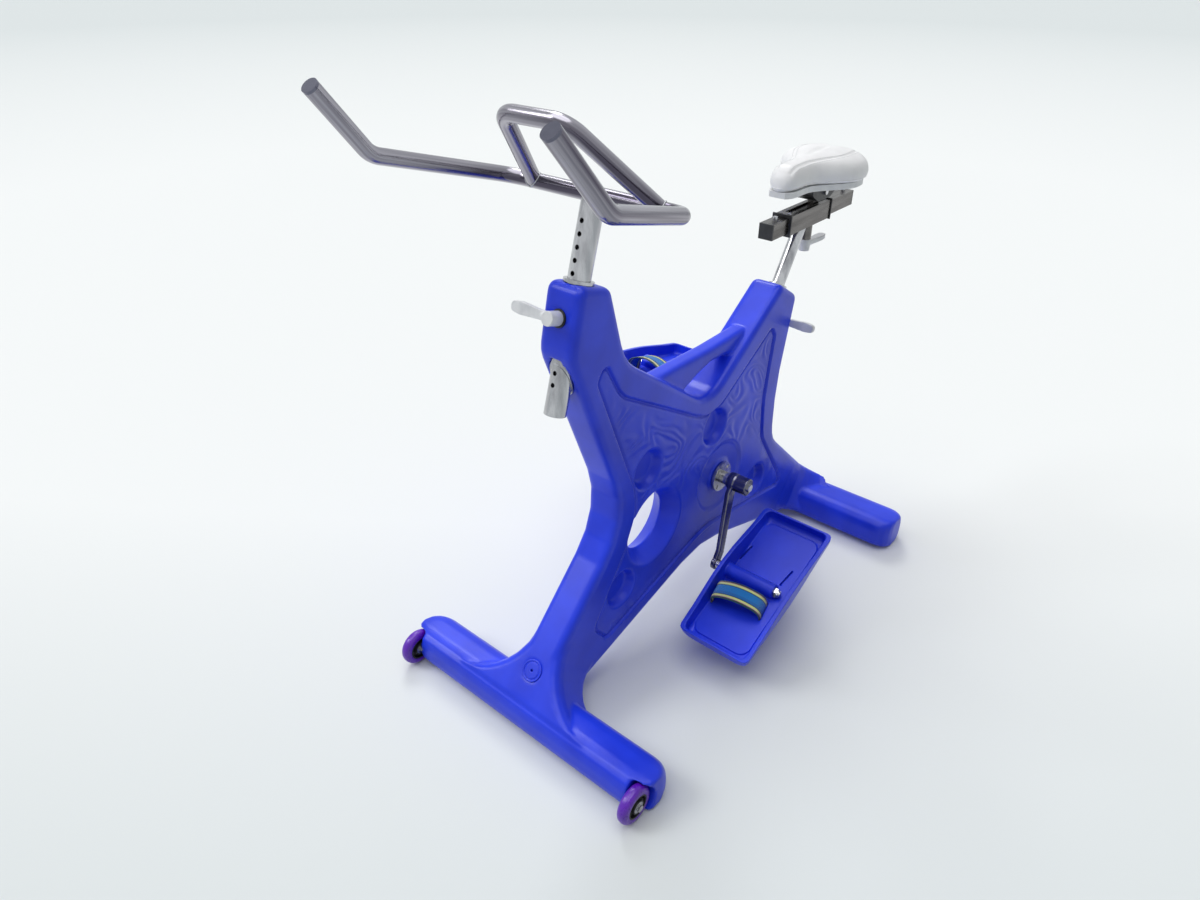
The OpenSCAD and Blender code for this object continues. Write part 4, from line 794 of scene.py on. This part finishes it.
# %% Weld beads
def leg_joint(foot, way, radius, steps=48):
    """Points where a tube of the given radius along way meets the cross bar at foot."""
    foot, way = np.array(foot, float), np.array(way, float) / np.linalg.norm(way)
    u = np.cross(way, (1, 0, 0))
    u /= np.linalg.norm(u)
    v = np.cross(way, u)
    ring = []
    for k in range(steps):
        turn = 2 * math.pi * k / steps
        start = foot + radius * (u * math.cos(turn) + v * math.sin(turn))
        off = start[1:] - (BAR_BACK, BAR_UP)
        a, b, c = way[1:] @ way[1:], 2 * off @ way[1:], off @ off - TUBE_R ** 2
        ring.append(start + way * (-b + math.sqrt(max(0, b * b - 4 * a * c))) / (2 * a))
    return ring


def one_mesh(name, parts, material):
    """Joins the meshes of several objects in one new piece."""
    net = bmesh.new()
    for part in parts:
        net.from_mesh(part.data)
        bpy.data.objects.remove(part)
    mesh = bpy.data.meshes.new(name)
    net.to_mesh(mesh)
    net.free()
    shade_smooth(mesh)
    return shown(name, mesh, material)


BEAD, BEAD_STEP = (2.4 * MM, 3.4 * MM, 3.4 * MM), 1.7
beads = []
for side in (-1, 1):
    way = np.array((side * (TOP_X - BASE_X), -LOOP_OUT, LOOP_RISE), float)
    ring = leg_joint((side * BASE_X, BAR_BACK, BAR_UP), way, TUBE_R)
    beads.append(grown("bead", [at(*p) for p in ring], ROW, FINISHES["steel"], closed=True,
                       Spacing=BEAD_STEP * MM, Size=BEAD))
welds = one_mesh("weld_beads", beads, FINISHES["steel"])
dress(welds, "handlebar", "steel")

# %% [markdown]
# A foot strap is woven webbing: stiff, flat, and striped along its length. It is swept rather
# than simulated, because it is held tight in two slots. A map on its surface counts the width
# across and the length along, so the stripes and the weave follow every bend. It goes up
# through one slot, over the foot and down through the other, with its dark tail out at the side.

# %% Striped webbing
STRIPES = [
    (0.0, (0.010, 0.085, 0.080)), (0.055, (0.008, 0.012, 0.05)), (0.085, (0.72, 0.38, 0.36)),
    (0.118, (0.84, 0.94, 0.34)), (0.215, (0.008, 0.03, 0.09)), (0.255, (0.004, 0.17, 0.56)),
    (0.40, (0.0, 0.23, 0.68)), (0.745, (0.008, 0.03, 0.09)), (0.785, (0.84, 0.94, 0.34)),
    (0.882, (0.72, 0.38, 0.36)), (0.915, (0.008, 0.012, 0.05)), (0.945, (0.010, 0.085, 0.080))]
TAIL_NAVY = (0.008, 0.02, 0.16, 1)
TWILL, TWILL_BUMP, SHEEN = (14, 260, 1), {"Strength": 0.55, "Distance": 0.0006}, 0.25


def webbing_finish(tail_share):
    """Stripes across the width, a twill of fine ribs with painted shade in their low lines, and a
    dark tail for the given share.
    """
    made, tree, shader = new_material("striped_webbing", Sheen_Weight=SHEEN)
    woven = box_of(tree, "ShaderNodeUVMap", uv_map="weave")
    split = box_of(tree, "ShaderNodeSeparateXYZ")
    stripes = box_of(tree, "ShaderNodeValToRGB")
    ramp = stripes.color_ramp
    ramp.interpolation = "CONSTANT"
    while len(ramp.elements) < len(STRIPES):
        ramp.elements.new(0.5)
    for element, (start, colour) in zip(ramp.elements, STRIPES):
        element.position = start
        element.color = (*colour, 1)
    join(tree, woven, "UV", split, "Vector")
    join(tree, split, "X", stripes, "Fac")

    ribs = box_of(tree, "ShaderNodeTexWave", {"Scale": 1.0, "Distortion": 0.6, "Detail": 2},
                  bands_direction="DIAGONAL")
    stretch = box_of(tree, "ShaderNodeMapping", {"Scale": TWILL})
    join(tree, woven, "UV", stretch, "Vector")
    join(tree, stretch, "Vector", ribs, "Vector")
    # The ribs darken the stripes in their low lines: painted shade in the grooves of the weave.
    shade = box_of(tree, "ShaderNodeMapRange", {"To Min": 0.72, "To Max": 1.0})
    painted_groove_shade = box_of(tree, "ShaderNodeMix", {0: 1}, data_type="RGBA", blend_type="MULTIPLY")
    join(tree, ribs, "Fac", shade, "Value")
    join(tree, stripes, "Color", painted_groove_shade, MIX_A)
    join(tree, shade, "Result", painted_groove_shade, MIX_B)
    navy = box_of(tree, "ShaderNodeMix", {MIX_B: TAIL_NAVY}, data_type="RGBA")
    tail = box_of(tree, "ShaderNodeMath", {1: tail_share}, operation="LESS_THAN")
    join(tree, split, "Y", tail, 0)
    join(tree, tail, "Value", navy, 0)
    join(tree, painted_groove_shade, MIX_OUT, navy, MIX_A)
    join(tree, navy, MIX_OUT, shader, "Base Color")
    rough = box_of(tree, "ShaderNodeMapRange", {"To Min": 0.62, "To Max": 0.85})
    lift = box_of(tree, "ShaderNodeBump", TWILL_BUMP)
    join(tree, ribs, "Fac", rough, "Value")
    join(tree, rough, "Result", shader, "Roughness")
    join(tree, ribs, "Fac", lift, "Height")
    join(tree, lift, "Normal", shader, "Normal")
    return made


STRAP_WIDE, STRAP_THICK = 44, 2.5
SLOT_X, TAIL_X, TAIL_UP, FOOT_UP = 56, -77, -21, -28
SHOULDER_UP, CROWN_UP = 15, 39
SHOULDER_PART, CROWN_PART, TAIL_BEND = 0.28, 0.6, 2.0
slope = math.atan2(CROWN_UP - SHOULDER_UP, SLOT_X)
reach = math.hypot(SLOT_X, CROWN_UP - SHOULDER_UP)
half_thick = STRAP_THICK / 2
leg_x = SLOT_X - half_thick
lean = math.tan(math.pi / 4 - slope / 2)
shoulder = SHOULDER_UP - half_thick * lean
shoulder_r = SHOULDER_PART * reach / lean - half_thick
crown_r = CROWN_PART * reach / math.tan(slope) - half_thick
crown = CROWN_UP - half_thick / math.cos(slope)
STRAP_PATH = round_path(
    [(TAIL_X, TAIL_UP), (-leg_x, TAIL_UP), (-leg_x, shoulder), (0, crown), (leg_x, shoulder),
     (leg_x, FOOT_UP)], [TAIL_BEND, shoulder_r, crown_r, shoulder_r])
strap_length = float(np.sum(np.linalg.norm(np.diff(STRAP_PATH, axis=0), axis=1)))
FINISHES["strap_web"] = webbing_finish((leg_x + TAIL_X) / -strap_length)
print("strap length:", round(strap_length), "mm")


# %% [markdown]
# The webbing's section is a flat band with round selvedges.

# %% Foot straps
PEDAL_AT = {"left": (1, 518.0, 145.115, 21.8), "right": (-1, 698.0, 456.885, -12.0)}
STRAP_AT = (192, -54, 8)
SELVEDGE, FLAT_STEPS, TURN_STEPS = 1.2, 13, 5


def band_section():
    """Points round the band: across, and out from its middle."""
    edge = STRAP_WIDE / 2 - SELVEDGE
    flat = np.linspace(-edge, edge, FLAT_STEPS)
    turn = degrees(*np.linspace(90, -90, TURN_STEPS)[1:-1])
    right = [(edge + SELVEDGE * math.cos(a), half_thick * math.sin(a)) for a in turn]
    top = [(x, half_thick) for x in flat]
    return top + right + [(x, -half_thick) for x in flat[::-1]] + [(-x, -y) for x, y in right]


def strap_mesh(side):
    """The band swept along its path, closed at both ends, with its map of width and length."""
    sign, back, up, tilt = PEDAL_AT[side]
    place = (Matrix.Diagonal((sign, 1, 1, 1))
             @ Matrix.Translation((0, back - CENTRE_BACK, up))
             @ Matrix.Rotation(math.radians(tilt), 4, "X")
             @ Matrix.Translation((STRAP_AT[0], STRAP_AT[1], 0))
             @ Matrix.Rotation(math.radians(STRAP_AT[2]), 4, "Z"))
    section = band_section()
    net = bmesh.new()
    weave = net.loops.layers.uv.new("weave")
    rings, along, walked = [], [], 0.0
    for k, spot in enumerate(STRAP_PATH):
        before = STRAP_PATH[max(k - 1, 0)]
        after = STRAP_PATH[min(k + 1, len(STRAP_PATH) - 1)]
        way = (after - before) / np.linalg.norm(after - before)
        walked += float(np.linalg.norm(spot - before)) if k else 0.0
        along.append(walked / strap_length)
        rings.append([
            net.verts.new(place @ Vector((
                spot[0] - way[1] * out, across, spot[1] + way[0] * out)) * MM)
            for across, out in section])
    count = len(section)
    for k in range(len(rings) - 1):
        for j in range(count):
            n = (j + 1) % count
            face = net.faces.new((rings[k][j], rings[k][n], rings[k + 1][n], rings[k + 1][j]))
            spots = ((j, along[k]), (n, along[k]), (n, along[k + 1]), (j, along[k + 1]))
            for loop, (i, v) in zip(face.loops, spots):
                loop[weave].uv = (section[i][0] / STRAP_WIDE + 0.5, v)
    for ring in (rings[0], rings[-1]):
        net.faces.new(ring)
    bmesh.ops.recalc_face_normals(net, faces=net.faces)
    mesh = bpy.data.meshes.new(side + "_webbing")
    net.to_mesh(mesh)
    net.free()
    shade_smooth(mesh)
    return mesh


for side in ("left", "right"):
    webbing = shown(side + "_webbing", strap_mesh(side), FINISHES["strap_web"])
    dress(webbing, side + "_pedal", "strap_web", side + "_strap")

# %% [markdown]
# The saddle is a foam pad in a white vinyl cover. A block of the right outline isn't enough: air
# inside the cover has to push it out, so the CAD shape is shrunk a little, netted, and inflated
# by the cloth solver with gravity off. Its underside is pinned, because it lies on the shell.
# Each point may only move a few millimetres, which keeps the pad inside the CAD size.

# %% Vinyl cover
PAD_SHRINK, PINNED_UP, PAD_RELAX = (0.965, 0.975, 0.93), 4, 3
PRESSURE, STIFF, QUALITY, FRAMES = 4, 0.5, 5, 20
VINYL_CELLS, VINYL_BUMP = 420, {"Strength": 0.35, "Distance": 0.0003}


def vinyl_finish():
    made = finish("white_vinyl", (0.74, 0.74, 0.75), (0.82, 0.82, 0.83), (0.34, 0.5), 500, 0,
                  blotch=14, Sheen_Weight=0.1)
    tree = made.node_tree
    shader = tree.nodes["Principled BSDF"]
    place = box_of(tree, "ShaderNodeTexCoord")
    cells = box_of(tree, "ShaderNodeTexVoronoi", {"Scale": VINYL_CELLS},
                   feature="DISTANCE_TO_EDGE")
    lift = box_of(tree, "ShaderNodeBump", VINYL_BUMP)
    join(tree, place, "Object", cells, "Vector")
    join(tree, cells, "Distance", lift, "Height")
    join(tree, lift, "Normal", shader, "Normal")
    return made


FINISHES["cushion"] = vinyl_finish()
PAD_LOW, PAD_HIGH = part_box("saddle")


def pad_start(cell):
    """The shrunk and netted pad, with its underside in a vertex group to pin."""
    pad = shown("saddle_cover", merged_copy("saddle"), FINISHES["cushion"])
    middle = (PAD_LOW + PAD_HIGH) / 2
    middle.z = PAD_LOW.z
    for vertex in pad.data.vertices:
        off = vertex.co - middle
        vertex.co = middle + Vector([a * share for a, share in zip(off, PAD_SHRINK)])
    netted(pad, cell, PAD_RELAX)
    pinned = pad.vertex_groups.new(name="underside")
    under = [v.index for v in pad.data.vertices if v.co.z < PAD_LOW.z + PINNED_UP * MM]
    pinned.add(under, 1.0, "REPLACE")
    return pad


def inflate(pad, cap):
    """Blows the cover up with the cloth solver and caps how far each point moves."""
    before = np.array([v.co[:] for v in pad.data.vertices])
    cloth = pad.modifiers.new("cloth", "CLOTH")
    cloth.settings.use_pressure = True
    cloth.settings.uniform_pressure_force = PRESSURE
    cloth.settings.effector_weights.gravity = 0
    cloth.settings.vertex_group_mass = "underside"
    cloth.settings.quality = QUALITY
    cloth.settings.bending_stiffness = STIFF
    for frame_number in range(1, FRAMES + 1):
        scene.frame_set(frame_number)
    graph = bpy.context.evaluated_depsgraph_get()
    after = np.array([v.co[:] for v in pad.evaluated_get(graph).data.vertices])
    pad.modifiers.clear()
    scene.frame_set(1)
    step = after - before
    far = np.linalg.norm(step, axis=1)
    step *= np.minimum(1, cap * MM / np.maximum(far, 1e-9))[:, None]
    pad.data.vertices.foreach_set("co", (before + step).ravel())
    print("cover moved up to", round(float(np.linalg.norm(step, axis=1).max()) / MM, 1), "mm")


PAD_CELL, PAD_MOVES = 5, 6
pad = pad_start(PAD_CELL)
inflate(pad, PAD_MOVES)


# %% [markdown]
# A sewn cover shows where its panels meet. Two seams run from the nose to the back and pull the
# cover in. They are pressed in after the inflation, because the net would have swallowed them,
# and a row of stitches lies along both sides of each. A cord of piping closes the lower edge.

# %% Seams of the cover
SADDLE_BACK, SADDLE_LONG, SADDLE_WIDE = 782.9, 269, 196
NOSE_HALF, WIDER_BY, WIDEN_FROM, WIDEN_TO = 0.17, 0.33, 0.28, 0.70
NOSE_ROUND, REAR_ROUND = 34, 62
SEAM, SEAM_DEEP, SEAM_WIDE = 0.58, 1.6, 3.5
SEAM_NOSE, SEAM_REAR, SEAM_UP = 18, 16, 16


def saddle_half(y):
    """Half width of the saddle in mm at the distance y behind its nose."""
    widened = float(smooth_step(y / SADDLE_LONG, WIDEN_FROM, WIDEN_TO))
    nose = math.sqrt(1 - max(0, 1 - y / NOSE_ROUND) ** 2)
    rear = math.sqrt(1 - max(0, 1 - (SADDLE_LONG - y) / REAR_ROUND) ** 2)
    return (NOSE_HALF + WIDER_BY * widened) * SADDLE_WIDE * nose * rear


finer = pad.modifiers.new("finer", "SUBSURF")
finer.levels = finer.render_levels = 1
settle(pad)


def press_seams(obj):
    """Presses two grooves into the cover, at a fixed share of its half width."""
    for vertex in obj.data.vertices:
        y = vertex.co.y / MM + CENTRE_BACK - SADDLE_BACK
        if SEAM_NOSE < y < SADDLE_LONG - SEAM_REAR and vertex.co.z >= PAD_LOW.z + SEAM_UP * MM:
            off = abs(abs(vertex.co.x) / MM - SEAM * saddle_half(y))
            vertex.co -= vertex.normal * SEAM_DEEP * MM * math.exp(-(off / SEAM_WIDE) ** 2)


press_seams(pad)
shade_smooth(pad.data)
dress(pad, "saddle", "cushion", "saddle")


# %% Stitches and piping
STITCH_NOSE, STITCH_REAR, STITCH_LOOK, STITCH_OVER = 26, 22, 2.0, 0.2
STITCH_ASIDE, STITCH_STEP, STITCH_SIZE = 4.5, 4.2, (3.0, 0.8, 0.8)
ABOVE_ALL = 1000
skin = BVHTree.FromPolygons(
    [v.co for v in pad.data.vertices], [tuple(f.vertices) for f in pad.data.polygons])


def stitch_line(sign, aside):
    """Points on the cover beside a seam, found by looking straight down."""
    found = []
    for y in np.arange(STITCH_NOSE, SADDLE_LONG - STITCH_REAR, STITCH_LOOK):
        spot = at(sign * (SEAM * saddle_half(y) + aside), SADDLE_BACK + y, ABOVE_ALL)
        hit = skin.ray_cast(spot, Vector((0, 0, -1)))[0]
        if hit is not None:
            found.append(hit + Vector((0, 0, STITCH_OVER * MM)))
    return found


rows = []
for sign in (-1, 1):
    for aside in (-STITCH_ASIDE, STITCH_ASIDE):
        rows.append(grown(
            "row", stitch_line(sign, aside), ROW, FINISHES["cushion"],
            Spacing=STITCH_STEP * MM, Size=tuple(v * MM for v in STITCH_SIZE)))
thread = finish("pale_thread", (0.55, 0.56, 0.58), (0.66, 0.67, 0.69), (0.5, 0.7), 900, 0.3,
                blotch=200)
stitches = one_mesh("saddle_stitches", rows, thread)
dress(stitches, "saddle", "cushion")


PIPING_R, PIPING_SIDES, PIPING_UP, PIPING_IN = 1.7, 10, 7, 0.7
LOOKS_ROUND, LOOK_FROM, LOOK_MIDDLE = 120, 0.4, 165


def edge_line(up):
    """The cover's outline at a height in mm, found by looking inwards from all round."""
    middle = at(0, SADDLE_BACK + LOOK_MIDDLE, up)
    ring = []
    for k in range(LOOKS_ROUND):
        turn = 2 * math.pi * k / LOOKS_ROUND
        way = Vector((math.cos(turn), math.sin(turn), 0))
        hit = skin.ray_cast(middle + way * LOOK_FROM, -way)[0]
        if hit is not None:
            ring.append(hit - way * PIPING_IN * MM)
    return ring


piping = grown("saddle_piping", edge_line(PAD_LOW.z / MM + PIPING_UP), TUBE, FINISHES["cushion"],
               closed=True, Radius=PIPING_R * MM, Bend=0.0, Sides=PIPING_SIDES)
dress(piping, "saddle", "cushion")

# %% [markdown]
# Thin ribs stand in the hollow of each wheel's hub. They are one shape repeated round a circle,
# so they come from the row tree, set on a ring of points about the axle. Their spacing is a hair
# more than an even share, so that rounding adds no rib on top of the first.

# %% Ribs round the wheels' axles
HUB_BACK, HUB_UP = -5, 39
RIB_RING, RIB_COUNT, RIB_SIZE = 17.6, 8, (2, 5.5, 15)
RING_STEPS, HAIR_MORE = 96, 1.0001


def circle_about(x, back, up, radius, steps):
    """Points on a circle about an axle that runs across the bike."""
    turns = [2 * math.pi * (k + 0.5) / steps for k in range(steps)]
    return [at(x, back + radius * math.cos(turn), up + radius * math.sin(turn)) for turn in turns]


for side in ("left", "right"):
    low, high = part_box(side + "_wheel_hub")
    middle_x = (low.x + high.x) / 2 / MM
    ring = circle_about(middle_x, HUB_BACK, HUB_UP, RIB_RING, RING_STEPS)
    round_trip = sum((a - b).length for a, b in zip(ring, ring[1:] + ring[:1]))
    ribs = grown(side + "_hub_ribs", ring, ROW, FINISHES["black"], closed=True,
                 Spacing=round_trip / RIB_COUNT * HAIR_MORE,
                 Size=tuple(v * MM for v in RIB_SIZE), Square=True)
    dress(ribs, side + "_wheel", "black")


# %% [markdown]
# What is left are the CAD nodes whose shape is already right: bushes, bolts, bearings, the posts
# with their rows of holes, the square rail and its sleeve. Their meshes stay untouched. Each
# takes the finish of its own material slot, apart from five that look different in the photo:
# the darker steel of the rail, its sleeve and stand, the pale shell and the caps of the bar.

# %% Finishes of the other CAD nodes
slot_of = {part["node"]: part["material_slot"] for part in frame["record"]["subparts"]}
slot_of.update(slider_sleeve="rail_steel", seat_rail="rail_steel", saddle_stand="rail_steel",
               saddle_base="pale_shell", bar_end_caps="alloy")
kept = [name for name, node in frame["nodes"].items() if not node.hide_render]
for name in kept:
    node = frame["nodes"][name]
    for entry in node.material_slots:
        entry.link = "OBJECT"
        entry.material = FINISHES[slot_of[name]]
print(len(kept), "CAD nodes keep their shape:", ", ".join(sorted(kept)))
